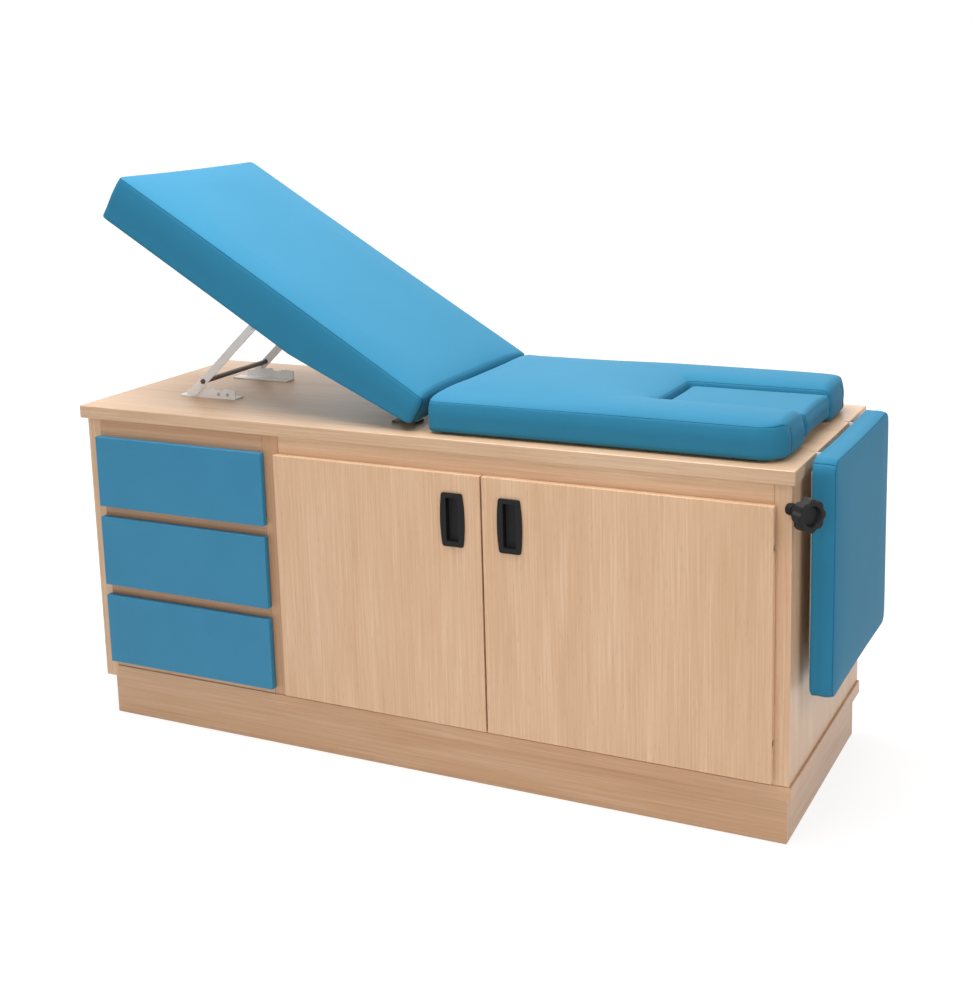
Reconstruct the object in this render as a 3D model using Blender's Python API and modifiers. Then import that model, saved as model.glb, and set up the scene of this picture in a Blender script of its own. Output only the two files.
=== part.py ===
"""Examination table on a cabinet, with a propped backrest, a leg flap, drawers and doors.

Metres, +Z up. The origin is on the floor at the middle of the table top's plan.
The head end is at -X, the drawers and doors face -Y.
"""

import math

import bmesh
import bpy
from mathutils import Vector

# Table top and the cabinet below it
TABLE_LENGTH = 1.750
TABLE_DEPTH = 0.610
TABLE_HEIGHT = 0.785
TOP_THICKNESS = 0.030
OVERHANG_HEAD = 0.0175
OVERHANG_FOOT = 0.007
OVERHANG_FRONT = 0.007
OVERHANG_BACK = 0.007
GAP = 0.0003
BOARD_EDGE = 0.001

# Plinth
PLINTH_HEIGHT = 0.100
PLINTH_BOARD = 0.018
PLINTH_SETBACK_FRONT = 0.0125
PLINTH_SETBACK_BACK = 0.0125
PLINTH_SETBACK_HEAD = 0.017
PLINTH_SETBACK_FOOT = 0.012
BRACE_WIDTH = 0.060

# Carcass boards
BOTTOM_THICKNESS = 0.030
BOTTOM_LEDGE_FRONT = 0.002
BOTTOM_LEDGE_FOOT = 0.005
PANEL_THICKNESS = 0.018
BACK_THICKNESS = 0.006
SHELF_THICKNESS = 0.018
SHELF_HEIGHT = 0.300
SHELF_SETBACK = 0.040

# Face frame
FRAME_DEPTH = 0.026
LEFT_STILE = 0.038
MIDDLE_STILE = 0.044
RIGHT_STILE = 0.035
DRAWER_OPENING = 0.4635
TOP_REVEAL = 0.041
DRAWER_REVEAL_BELOW = 0.0162
DOOR_REVEAL_BELOW = 0.0087
FRONT_STANDOFF = 0.002

# Drawers
DRAWER_NAMES = ("lower", "middle", "upper")
DRAWER_RAIL_NAMES = ("lower", "upper")
DRAWER_SPACING = 0.0265
DRAWER_OVERLAY = 0.004
DRAWER_SIDE_OVERLAY = 0.005
DRAWER_FRONT_THICKNESS = 0.016
DRAWER_CLEAR_BACK = 0.060
DRAWER_WALL = 0.012
DRAWER_FLOOR = 0.006
DRAWER_CLEAR_SIDE = 0.002
DRAWER_CLEAR_BELOW = 0.004
DRAWER_CLEAR_ABOVE = 0.012
RUNNER_LEDGE = 0.014
RUNNER_THICKNESS = 0.012

# Doors, pivots and recessed pulls
DOOR_THICKNESS = 0.016
DOOR_OVERLAY = 0.004
LEFT_DOOR_WIDTH = 0.5195
DOOR_MEETING_GAP = 0.004
PIVOT_SETBACK = 0.0085
PIVOT_LEAF = 0.002
PIVOT_LEAF_HEIGHT = 0.050
PIVOT_LEAF_DEPTH = 0.019
PIVOT_TONGUE_HEIGHT = 0.012
PIVOT_PIN_RADIUS = 0.0025
PIVOT_PIN_LENGTH = 0.032
PIVOT_FROM_END = 0.085
PULL_HEIGHT = 0.119
PULL_WIDTH_END = 0.049
PULL_WIDTH_MIDDLE = 0.058
PULL_FLANGE = 0.004
PULL_INSET = 0.0655
PULL_DROP = 0.1015
PULL_CUP_WIDTH = 0.032
PULL_CUP_HEIGHT = 0.101
PULL_CUP_DEPTH = 0.012
PULL_CUP_WALL = 0.0025

# Seat
PAD_INSET = 0.030
PAD_LIFT = 0.004
HEEL_CLEAR = 0.0032
SEAT_END_INSET = 0.031
SEAT_HEIGHT = 0.072
SEAT_CROWN = 0.030
SEAT_CORNER_FOOT = 0.055
SEAT_CORNER_HINGE = 0.015
SEAT_BOARD_THICKNESS = 0.012
SEAT_BOARD_INSET = 0.028
CUTOUT_LENGTH = 0.318
CUTOUT_WIDTH = 0.210
CUTOUT_CORNER = 0.020
CUTOUT_ROLL = 0.005
CUTOUT_LIP = 0.0015
INFILL_CLEAR = 0.003
INFILL_DROP = 0.006
INFILL_CROWN = 0.006

# Upholstery
PAD_EDGE = 0.006
PAD_BOTTOM_ROUND = 0.012
PAD_DRAW = 0.004
PAD_CORNER_LEAST = 0.004
CROWN_SHARE = 0.96
CORNER_STEPS = 5
CROWN_RINGS = 5

# Backrest, in its own frame: flat on the table, turning about the hinge line
BACKREST_ANGLE = 31.0
HINGE_FROM_HEAD = 0.838
HINGE_HEIGHT = 0.030
BACKREST_REACH = 0.870
BACKREST_HEEL_TOP = 0.052
BACKREST_HEEL_BOTTOM = 0.066
BACKREST_TOP = 0.084
BACKREST_BOTTOM = 0.026
BACKREST_HEEL_RISE = 0.016
BACKREST_BEVEL_START = 0.280
BACKREST_CROWN = 0.011
BACKREST_CORNER = 0.018
POCKET_CLEAR_START = 0.020
POCKET_CLEAR_END = 0.0105
POCKET_FROM_PAD_SIDE = 0.080
POCKET_CEILING = 0.022
POCKET_BOARD = 0.012
POCKET_FIT = 0.002

# Backrest hinges
HINGE_FROM_PAD_SIDE = 0.090
HINGE_PIN_RADIUS = 0.0035
HINGE_LUG_RADIUS = 0.0075
HINGE_LUG_THICKNESS = 0.005
HINGE_LUG_FOOT = 0.042
HINGE_PLATE_LENGTH = 0.060
HINGE_PLATE_WIDTH = 0.040
HINGE_PLATE_THICKNESS = 0.004
HINGE_ARM_HEEL = 0.030
HINGE_ARM_REACH = 0.120
HINGE_ARM_DEPTH = 0.009
HINGE_ARM_THICKNESS = 0.006

# Prop: two struts that fold into the backrest's pocket, tied by a bar
PROP_RATIO = 2.385
PROP_FROM_HINGE = 0.433
PROP_BELOW_HINGE = 0.010
PROP_LENGTH = 0.337
PROP_FROM_PAD_SIDE = 0.141
STRUT_WIDTH = 0.020
STRUT_THICKNESS = 0.004
PROP_BAR_RADIUS = 0.006
PROP_BAR_FROM_FOOT = 0.040
PROP_BAR_PROUD = 0.003
PROP_STUD_RADIUS = 0.004
PROP_STUD_FROM_FOOT = 0.022
PROP_STUD_INSIDE = 0.012
PROP_STUD_HEAD_RADIUS = 0.0065
PROP_STUD_HEAD = 0.0025
PROP_PIN_RADIUS = 0.003
PROP_LUG_RADIUS = 0.008
PROP_LUG_THICKNESS = 0.003
PROP_LUG_FOOT = 0.037
PROP_PLATE_LENGTH = 0.046
PROP_PLATE_WIDTH = 0.026
PROP_PLATE_THICKNESS = 0.003

# Ratchet plates under the prop's studs: a rounded toe, a slope up to a tooth, a notch, a low back
RATCHET_BEHIND_STUD = 0.065
RATCHET_LENGTH = 0.165
RATCHET_TOE = 0.018
RATCHET_TOE_AT = 0.030
RATCHET_TOOTH = 0.027
RATCHET_TOOTH_AT = 0.1005
RATCHET_NOTCH_DEPTH = 0.0065
RATCHET_NOTCH_WIDTH = 0.018
RATCHET_BACK = 0.025
RATCHET_END = 0.0225
RATCHET_THICKNESS = 0.003
RATCHET_FLANGE = 0.034
RATCHET_INSIDE = 0.006

# Leg flap, hanging at the foot end
FLAP_AXIS_INSET = 0.008
FLAP_AXIS_DEPTH = 0.008
FLAP_CLEAR = 0.008
FLAP_LENGTH = 0.497
FLAP_SIDE_INSET = 0.0575
FLAP_RISE = 0.020
FLAP_PAD = 0.047
FLAP_CROWN = 0.008
FLAP_CORNER = 0.018
FLAP_BOARD = 0.008
FLAP_BOARD_INSET = 0.034
FLAP_ARM_FROM_SIDE = 0.1075
FLAP_ARM_THICKNESS = 0.004
FLAP_ARM_HEIGHT = 0.012
FLAP_ARM_LEG = 0.120
FLAP_ARM_STANDOFF = 0.0025
FLAP_PIN_RADIUS = 0.003
FLAP_PIN_LENGTH = 0.018
FLAP_SLOT_CLEAR = 0.0006

# Star knob and its bush in the right stile
KNOB_CLEAR_ABOVE = 0.0135
KNOB_RADIUS = 0.034
KNOB_LOBES = 8
KNOB_LOBE_DEPTH = 0.004
KNOB_THICKNESS = 0.026
KNOB_EDGE = 0.004
KNOB_STANDOFF = 0.035
KNOB_NECK_RADIUS = 0.0105
KNOB_DISH_RADIUS = 0.021
KNOB_DISH_TAPER = 0.0042
KNOB_DISH_DEPTH = 0.008
KNOB_SPINDLE_RADIUS = 0.0035
KNOB_SPINDLE_LENGTH = 0.018
KNOB_TURN = 35.0
BUSH_RADIUS = 0.0055
BUSH_LENGTH = 0.021
COLLAR_RADIUS = 0.0125
COLLAR_HEIGHT = 0.008
COLLAR_SADDLE = 0.020

# Finishes: colour, roughness, metallic
WOOD = ((0.64, 0.44, 0.29), 0.45, 0.0)
LAMINATE = ((0.050, 0.230, 0.380), 0.40, 0.0)
VINYL = ((0.110, 0.400, 0.620), 0.45, 0.0)
PLYWOOD = ((0.60, 0.45, 0.30), 0.60, 0.0)
WHITE_STEEL = ((0.80, 0.79, 0.77), 0.35, 0.4)
BARE_STEEL = ((0.55, 0.55, 0.56), 0.30, 1.0)
DARK_STEEL = ((0.10, 0.085, 0.07), 0.40, 0.6)
BLACK_PLASTIC = ((0.016, 0.017, 0.017), 0.40, 0.0)
WHITE_BOARD = ((0.80, 0.80, 0.79), 0.45, 0.0)

# Places that follow from the sizes above
X_HEAD = -TABLE_LENGTH / 2
X_FOOT = TABLE_LENGTH / 2
Y_FRONT = -TABLE_DEPTH / 2
Y_BACK = TABLE_DEPTH / 2
CABINET_HEAD = X_HEAD + OVERHANG_HEAD
CABINET_FOOT = X_FOOT - OVERHANG_FOOT
CABINET_FRONT = Y_FRONT + OVERHANG_FRONT
CABINET_BACK = Y_BACK - OVERHANG_BACK
TOP_UNDERSIDE = TABLE_HEIGHT - TOP_THICKNESS
BOTTOM_LOW = PLINTH_HEIGHT + GAP
BOTTOM_TOP = BOTTOM_LOW + BOTTOM_THICKNESS
STAND = BOTTOM_TOP + GAP
UNDER_TOP = TOP_UNDERSIDE - GAP
BEHIND_FRAME = CABINET_FRONT + FRAME_DEPTH + GAP
BEFORE_BACK = CABINET_BACK - BACK_THICKNESS - GAP
DRAWERS_LEFT = CABINET_HEAD + LEFT_STILE
DRAWERS_RIGHT = DRAWERS_LEFT + DRAWER_OPENING
DOORS_LEFT = DRAWERS_RIGHT + MIDDLE_STILE
DOORS_RIGHT = CABINET_FOOT - RIGHT_STILE
LEFT_DOOR_EDGE = DOORS_LEFT - DOOR_OVERLAY
RIGHT_DOOR_EDGE = DOORS_RIGHT + DOOR_OVERLAY
DOORS_MEET = LEFT_DOOR_EDGE + LEFT_DOOR_WIDTH
PARTITION = DRAWERS_RIGHT + (MIDDLE_STILE - PANEL_THICKNESS) / 2
FRONTS_TOP = TOP_UNDERSIDE - TOP_REVEAL
DRAWERS_BOTTOM = BOTTOM_TOP + DRAWER_REVEAL_BELOW
DOORS_BOTTOM = BOTTOM_TOP + DOOR_REVEAL_BELOW
DRAWER_COUNT = len(DRAWER_NAMES)
DRAWER_FRONT_HEIGHT = (
    FRONTS_TOP - DRAWERS_BOTTOM - (DRAWER_COUNT - 1) * DRAWER_SPACING) / DRAWER_COUNT
FRONT_PLANE = CABINET_FRONT - FRONT_STANDOFF
PAD_HALF = TABLE_DEPTH / 2 - PAD_INSET
HINGE_X = X_HEAD + HINGE_FROM_HEAD
HINGE_Z = TABLE_HEIGHT + HINGE_HEIGHT
HINGE_SPREAD = PAD_HALF - HINGE_FROM_PAD_SIDE
SEAT_START = HINGE_X + math.hypot(BACKREST_HEEL_TOP, BACKREST_TOP) + HEEL_CLEAR
SEAT_END = X_FOOT - SEAT_END_INSET
PROP_SPREAD = PAD_HALF - PROP_FROM_PAD_SIDE
POCKET_START = PROP_FROM_HINGE - PROP_PLATE_LENGTH / 2 - POCKET_CLEAR_START
POCKET_END = PROP_FROM_HINGE + PROP_LENGTH + STRUT_WIDTH / 2 + POCKET_CLEAR_END
POCKET_HALF = PAD_HALF - POCKET_FROM_PAD_SIDE
FLAP_HALF = TABLE_DEPTH / 2 - FLAP_SIDE_INSET
FLAP_ARM_SPREAD = FLAP_HALF - FLAP_ARM_FROM_SIDE
FLAP_AXIS_X = X_FOOT - FLAP_AXIS_INSET
FLAP_AXIS_Z = TABLE_HEIGHT - FLAP_AXIS_DEPTH
KNOB_AXIS_TURN = (0, math.radians(90), -math.radians(KNOB_TURN))
KNOB_Z = TOP_UNDERSIDE - KNOB_RADIUS - KNOB_CLEAR_ABOVE


def clear_scene():
    for item in list(bpy.data.objects):
        bpy.data.objects.remove(item, do_unlink=True)
    for group in list(bpy.data.collections):
        bpy.data.collections.remove(group)


def new_collection(name):
    group = bpy.data.collections.new(name)
    bpy.context.scene.collection.children.link(group)
    return group


clear_scene()
PARTS = new_collection("examination_table_with_cabinet")
CUTTERS = new_collection("cutters")


def give_finish(item, finish):
    colour, roughness, metallic = finish
    material = bpy.data.materials.new(item.name)
    material.use_nodes = True
    shader = material.node_tree.nodes["Principled BSDF"]
    shader.inputs["Base Color"].default_value = (*colour, 1.0)
    shader.inputs["Roughness"].default_value = roughness
    shader.inputs["Metallic"].default_value = metallic
    material.diffuse_color = (*colour, 1.0)
    item.data.materials.append(material)


def place(name, mesh, finish=None, at=(0, 0, 0), turn=(0, 0, 0), parent=None):
    """Make an object of a mesh: a part when it has a finish, and otherwise a cutter."""
    item = bpy.data.objects.new(name, mesh)
    item.location = at
    item.rotation_euler = turn
    item.parent = parent
    if finish is None:
        CUTTERS.objects.link(item)
        item.hide_render = True
        item.display_type = "WIRE"
    else:
        PARTS.objects.link(item)
        give_finish(item, finish)
    return item


def axis_empty(name, at, turn=(0, 0, 0), parent=None):
    empty = bpy.data.objects.new(name, None)
    empty.location = at
    empty.rotation_euler = turn
    empty.parent = parent
    empty.empty_display_size = 0.05
    PARTS.objects.link(empty)
    return empty


def mesh_from(bm, name, smooth_angle=None):
    mesh = bpy.data.meshes.new(name)
    bm.to_mesh(mesh)
    bm.free()
    if smooth_angle is not None:
        mesh.shade_smooth()
        mesh.set_sharp_from_angle(angle=math.radians(smooth_angle))
    return mesh


def box_mesh(name, x, y, z, origin=(0, 0, 0)):
    """A box between pairs of limits, held relative to the origin given."""
    bm = bmesh.new()
    bmesh.ops.create_cube(bm, size=1.0)
    size = Vector((x[1] - x[0], y[1] - y[0], z[1] - z[0]))
    middle = Vector((x[0] + x[1], y[0] + y[1], z[0] + z[1])) / 2 - Vector(origin)
    bmesh.ops.scale(bm, vec=size, verts=bm.verts)
    bmesh.ops.translate(bm, vec=middle, verts=bm.verts)
    return mesh_from(bm, name)


def round_edges(item, width, segments=1):
    bevel = item.modifiers.new("edges", "BEVEL")
    bevel.width = width
    bevel.segments = segments
    bevel.limit_method = "ANGLE"
    bevel.angle_limit = math.radians(40)


def board(name, x, y, z, finish, origin=None, parent=None, edge=BOARD_EDGE):
    """A board with broken edges. Its origin is its middle unless one is given."""
    if origin is None:
        origin = ((x[0] + x[1]) / 2, (y[0] + y[1]) / 2, (z[0] + z[1]) / 2)
    item = place(name, box_mesh(name, x, y, z, origin), finish, origin, parent=parent)
    if edge:
        round_edges(item, edge)
    return item


def box_tool(name, x, y, z, parent=None):
    origin = ((x[0] + x[1]) / 2, (y[0] + y[1]) / 2, (z[0] + z[1]) / 2)
    return place(name, box_mesh(name, x, y, z, origin), None, origin, parent=parent)


def rod_mesh(name, radius, length, sides=24, far_radius=None):
    """A rod or a cone along its own Z, with its middle at the origin."""
    bm = bmesh.new()
    far = radius if far_radius is None else far_radius
    bmesh.ops.create_cone(
        bm, cap_ends=True, segments=sides, radius1=radius, radius2=far, depth=length)
    return mesh_from(bm, name, smooth_angle=40)


ALONG_X = (0, math.radians(90), 0)
ALONG_Y = (math.radians(90), 0, 0)
ALONG_Z = (0, 0, 0)


def rod_tool(name, radius, length, at, turn, sides=24, far_radius=None, parent=None):
    mesh = rod_mesh(name, radius, length, sides, far_radius)
    return place(name, mesh, None, at, turn, parent)


def boolean(item, tool, operation):
    modifier = item.modifiers.new(tool.name, "BOOLEAN")
    modifier.object = tool
    modifier.operation = operation
    modifier.solver = "EXACT"


def cut(item, tool):
    boolean(item, tool, "DIFFERENCE")


def fuse(item, tool):
    boolean(item, tool, "UNION")


def plate_mesh(name, outline, thickness):
    """A flat plate: a closed outline in its own XY plane, thick both ways along Z."""
    curve = bpy.data.curves.new(name, "CURVE")
    curve.dimensions = "2D"
    curve.fill_mode = "BOTH"
    curve.extrude = thickness / 2
    spline = curve.splines.new("POLY")
    spline.points.add(len(outline) - 1)
    for point, (x, y) in zip(spline.points, outline):
        point.co = (x, y, 0, 1)
    spline.use_cyclic_u = True
    drawn = bpy.data.objects.new(name + "_outline", curve)
    bpy.context.scene.collection.objects.link(drawn)
    graph = bpy.context.evaluated_depsgraph_get()
    mesh = bpy.data.meshes.new_from_object(drawn.evaluated_get(graph))
    bpy.data.objects.remove(drawn, do_unlink=True)
    bpy.data.curves.remove(curve)
    mesh.materials.clear()
    bm = bmesh.new()
    bm.from_mesh(mesh)
    bmesh.ops.remove_doubles(bm, verts=bm.verts, dist=0.00001)
    bmesh.ops.dissolve_limit(bm, angle_limit=0.001, verts=bm.verts, edges=bm.edges)
    bmesh.ops.recalc_face_normals(bm, faces=bm.faces)
    bm.to_mesh(mesh)
    bm.free()
    mesh.name = name
    return mesh


def arc(centre, radius, start, end, steps):
    """Points of an arc between two angles in degrees."""
    points = []
    for step in range(steps + 1):
        angle = math.radians(start + (end - start) * step / steps)
        points.append((centre[0] + radius * math.cos(angle), centre[1] + radius * math.sin(angle)))
    return points


def rounded_outline(x, y, radii, breaks=()):
    """A rectangle with rounded corners, from its low corner round, with points at the breaks."""
    low_low, high_low, high_high, low_high = radii
    points = arc((x[0] + low_low, y[0] + low_low), low_low, 180, 270, CORNER_STEPS)
    points += [(at, y[0]) for at in breaks]
    points += arc((x[1] - high_low, y[0] + high_low), high_low, 270, 360, CORNER_STEPS)
    points += arc((x[1] - high_high, y[1] - high_high), high_high, 0, 90, CORNER_STEPS)
    points += [(at, y[1]) for at in reversed(breaks)]
    points += arc((x[0] + low_high, y[1] - low_high), low_high, 90, 180, CORNER_STEPS)
    return points


def loft_mesh(name, rings, smooth_angle=50):
    """A closed skin over rings of equal count, from the lowest ring to the highest."""
    bm = bmesh.new()
    loops = [[bm.verts.new(point) for point in ring] for ring in rings]
    count = len(rings[0])
    for low, high in zip(loops, loops[1:]):
        for this in range(count):
            after = (this + 1) % count
            bm.faces.new((low[this], low[after], high[after], high[this]))
    bm.faces.new(list(reversed(loops[0])))
    bm.faces.new(loops[-1])
    return mesh_from(bm, name, smooth_angle)


def pad_levels(height, bottom_round, edge, draw):
    """Inset and height of a boxed cushion's side, from its underside up to its top seam."""
    levels = []
    for step in range(4):
        angle = math.radians(90 * step / 3)
        levels.append((bottom_round * (1 - math.sin(angle)), bottom_round * (1 - math.cos(angle))))
    middle = (bottom_round + height - edge) / 2
    levels.append((draw, middle))
    for step in range(3):
        angle = math.radians(90 * step / 2)
        levels.append((edge * (1 - math.cos(angle)), height - edge + edge * math.sin(angle)))
    return levels


def crown_levels(reach, edge, height, crown):
    """Inset and height of the rings that raise a cushion's top towards its middle."""
    levels = []
    for step in range(1, CROWN_RINGS + 1):
        share = step / CROWN_RINGS
        levels.append((edge + (reach - edge) * share, height + crown * (1 - (1 - share) ** 2)))
    return levels


def pad_mesh(name, x, y, radii, height, crown, bottom_round=PAD_BOTTOM_ROUND):
    """A boxed cushion on Z = 0: rounded underside, drawn-in sides, top seam and crown."""
    reach = min(x[1] - x[0], y[1] - y[0]) / 2 * CROWN_SHARE
    levels = pad_levels(height, bottom_round, PAD_EDGE, PAD_DRAW)
    levels += crown_levels(reach, PAD_EDGE, height, crown)
    rings = []
    for inset, level in levels:
        corners = [max(radius - inset, PAD_CORNER_LEAST) for radius in radii]
        outline = rounded_outline((x[0] + inset, x[1] - inset), (y[0] + inset, y[1] - inset), corners)
        rings.append([(px, py, level) for px, py in outline])
    return loft_mesh(name, rings)


def build_plinth():
    head = CABINET_HEAD + PLINTH_SETBACK_HEAD
    foot = CABINET_FOOT + BOTTOM_LEDGE_FOOT - PLINTH_SETBACK_FOOT
    front = CABINET_FRONT + PLINTH_SETBACK_FRONT
    back = CABINET_BACK - PLINTH_SETBACK_BACK
    inner = (front + PLINTH_BOARD + GAP, back - PLINTH_BOARD - GAP)
    height = (0, PLINTH_HEIGHT)
    board("plinth_front", (head, foot), (front, front + PLINTH_BOARD), height, WOOD)
    board("plinth_back", (head, foot), (back - PLINTH_BOARD, back), height, WOOD)
    board("plinth_left", (head, head + PLINTH_BOARD), inner, height, WOOD)
    board("plinth_right", (foot - PLINTH_BOARD, foot), inner, height, WOOD)
    board("plinth_brace", (-BRACE_WIDTH / 2, BRACE_WIDTH / 2), inner, height, PLYWOOD)


def build_carcass():
    inside_head = CABINET_HEAD + PANEL_THICKNESS
    inside_foot = CABINET_FOOT - PANEL_THICKNESS
    sides = (BEHIND_FRAME, CABINET_BACK)
    upright = (STAND, UNDER_TOP)
    bottom = board(
        "bottom_board", (inside_head + GAP, CABINET_FOOT + BOTTOM_LEDGE_FOOT),
        (CABINET_FRONT - BOTTOM_LEDGE_FRONT, CABINET_BACK), (BOTTOM_LOW, BOTTOM_TOP), WOOD)
    cut(bottom, box_tool(
        "left_stile_notch", (CABINET_HEAD, DRAWERS_LEFT + GAP),
        (CABINET_FRONT - 2 * FRAME_DEPTH, BEHIND_FRAME), (0, BOTTOM_TOP + PLINTH_HEIGHT)))
    board("left_side_panel", (CABINET_HEAD, inside_head), sides, (BOTTOM_LOW, UNDER_TOP), WOOD)
    board("right_side_panel", (inside_foot, CABINET_FOOT), sides, upright, WOOD)
    board(
        "partition_panel", (PARTITION, PARTITION + PANEL_THICKNESS), (BEHIND_FRAME, BEFORE_BACK),
        upright, WOOD)
    board(
        "back_panel", (inside_head + GAP, inside_foot - GAP),
        (CABINET_BACK - BACK_THICKNESS, CABINET_BACK), upright, PLYWOOD)
    board(
        "shelf", (PARTITION + PANEL_THICKNESS + GAP, inside_foot - GAP),
        (BEHIND_FRAME + SHELF_SETBACK, BEFORE_BACK),
        (BOTTOM_TOP + SHELF_HEIGHT, BOTTOM_TOP + SHELF_HEIGHT + SHELF_THICKNESS), WOOD)


def drawer_front_bottom(index):
    """Lower edge of a drawer front, counted from the lowest drawer."""
    return DRAWERS_BOTTOM + index * (DRAWER_FRONT_HEIGHT + DRAWER_SPACING)


def drawer_box_bottom(index):
    return drawer_front_bottom(index) + DRAWER_OVERLAY + DRAWER_CLEAR_BELOW


def build_face_frame():
    depth = (CABINET_FRONT, CABINET_FRONT + FRAME_DEPTH)
    left = (DRAWERS_LEFT + GAP, DRAWERS_RIGHT - GAP)
    right = (DOORS_LEFT + GAP, DOORS_RIGHT - GAP)
    top = (FRONTS_TOP - DRAWER_OVERLAY, UNDER_TOP)
    bottom = (STAND, DRAWERS_BOTTOM + DRAWER_OVERLAY)
    board("left_stile", (CABINET_HEAD, DRAWERS_LEFT), depth, (BOTTOM_LOW, UNDER_TOP), WOOD)
    board("middle_stile", (DRAWERS_RIGHT, DOORS_LEFT), depth, (STAND, UNDER_TOP), WOOD)
    stile = board("right_stile", (DOORS_RIGHT, CABINET_FOOT), depth, (STAND, UNDER_TOP), WOOD)
    cut(stile, rod_tool(
        "bush_hole", BUSH_RADIUS + GAP, 2 * (BUSH_LENGTH + GAP), (CABINET_FOOT, CABINET_FRONT, KNOB_Z),
        KNOB_AXIS_TURN))
    board("top_rail_left", left, depth, top, WOOD)
    board("top_rail_right", right, depth, top, WOOD)
    board("bottom_rail_left", left, depth, bottom, WOOD)
    board("bottom_rail_right", right, depth, bottom, WOOD)
    for index, name in enumerate(DRAWER_RAIL_NAMES):
        low = drawer_front_bottom(index) + DRAWER_FRONT_HEIGHT - DRAWER_OVERLAY
        high = drawer_front_bottom(index + 1) + DRAWER_OVERLAY
        board("drawer_rail_" + name, left, depth, (low, high), WOOD)


def build_runner_rack(name, wall, plate, ledge):
    """An upright plate with one ledge under each drawer, drawn as a comb and pulled along Y."""
    outline = [(wall, STAND), (plate, STAND)]
    for index in range(DRAWER_COUNT):
        high = drawer_box_bottom(index) - GAP
        outline += [(plate, high - RUNNER_THICKNESS), (ledge, high - RUNNER_THICKNESS)]
        outline += [(ledge, high), (plate, high)]
    outline += [(plate, UNDER_TOP), (wall, UNDER_TOP)]
    length = BEFORE_BACK - BEHIND_FRAME
    mesh = plate_mesh(name, outline, length)
    place(name, mesh, PLYWOOD, (0, (BEHIND_FRAME + BEFORE_BACK) / 2, 0), ALONG_Y)


def build_drawers():
    build_runner_rack(
        "drawer_runner_left", CABINET_HEAD + PANEL_THICKNESS + GAP, DRAWERS_LEFT,
        DRAWERS_LEFT + RUNNER_LEDGE)
    build_runner_rack(
        "drawer_runner_right", PARTITION - GAP, DRAWERS_RIGHT, DRAWERS_RIGHT - RUNNER_LEDGE)
    across = (DRAWERS_LEFT + DRAWER_CLEAR_SIDE, DRAWERS_RIGHT - DRAWER_CLEAR_SIDE)
    box_height = (
        DRAWER_FRONT_HEIGHT - 2 * DRAWER_OVERLAY - DRAWER_CLEAR_BELOW - DRAWER_CLEAR_ABOVE)
    box_front = FRONT_PLANE + GAP
    along = (box_front, BEFORE_BACK - DRAWER_CLEAR_BACK)
    for index, place_name in enumerate(DRAWER_NAMES):
        name = "drawer_" + place_name
        low = drawer_front_bottom(index)
        board(
            name + "_front", (DRAWERS_LEFT - DRAWER_SIDE_OVERLAY, DRAWERS_RIGHT + DRAWER_SIDE_OVERLAY),
            (FRONT_PLANE - DRAWER_FRONT_THICKNESS, FRONT_PLANE),
            (low, low + DRAWER_FRONT_HEIGHT), LAMINATE)
        floor = drawer_box_bottom(index)
        box = board(name + "_box", across, along, (floor, floor + box_height), PLYWOOD)
        cut(box, box_tool(
            name + "_inside", (across[0] + DRAWER_WALL, across[1] - DRAWER_WALL),
            (along[0] + DRAWER_WALL, along[1] - DRAWER_WALL),
            (floor + DRAWER_FLOOR, floor + 2 * box_height)))


def build_pivot(name, x, height):
    """A flat leaf on the stile, its tongue under the door's back and the upright pin it carries."""
    pin_y = FRONT_PLANE - PIVOT_SETBACK
    leaf_back = CABINET_FRONT + PIVOT_LEAF_DEPTH
    leaf_front = CABINET_FRONT + BOARD_EDGE
    half_leaf = PIVOT_LEAF_HEIGHT / 2
    half_tongue = PIVOT_TONGUE_HEIGHT / 2
    outline = [
        (leaf_back, -half_leaf), (leaf_back, half_leaf), (leaf_front, half_leaf),
        (leaf_front, half_tongue), (pin_y, half_tongue), (pin_y, -half_tongue),
        (leaf_front, -half_tongue), (leaf_front, -half_leaf)]
    turn = (math.radians(90), 0, math.radians(90))
    leaf = place(name, plate_mesh(name, outline, PIVOT_LEAF), BARE_STEEL, (x, 0, height), turn)
    fuse(leaf, rod_tool(
        name + "_pin", PIVOT_PIN_RADIUS, PIVOT_PIN_LENGTH, (x, pin_y, height), ALONG_Z, sides=16))


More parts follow.
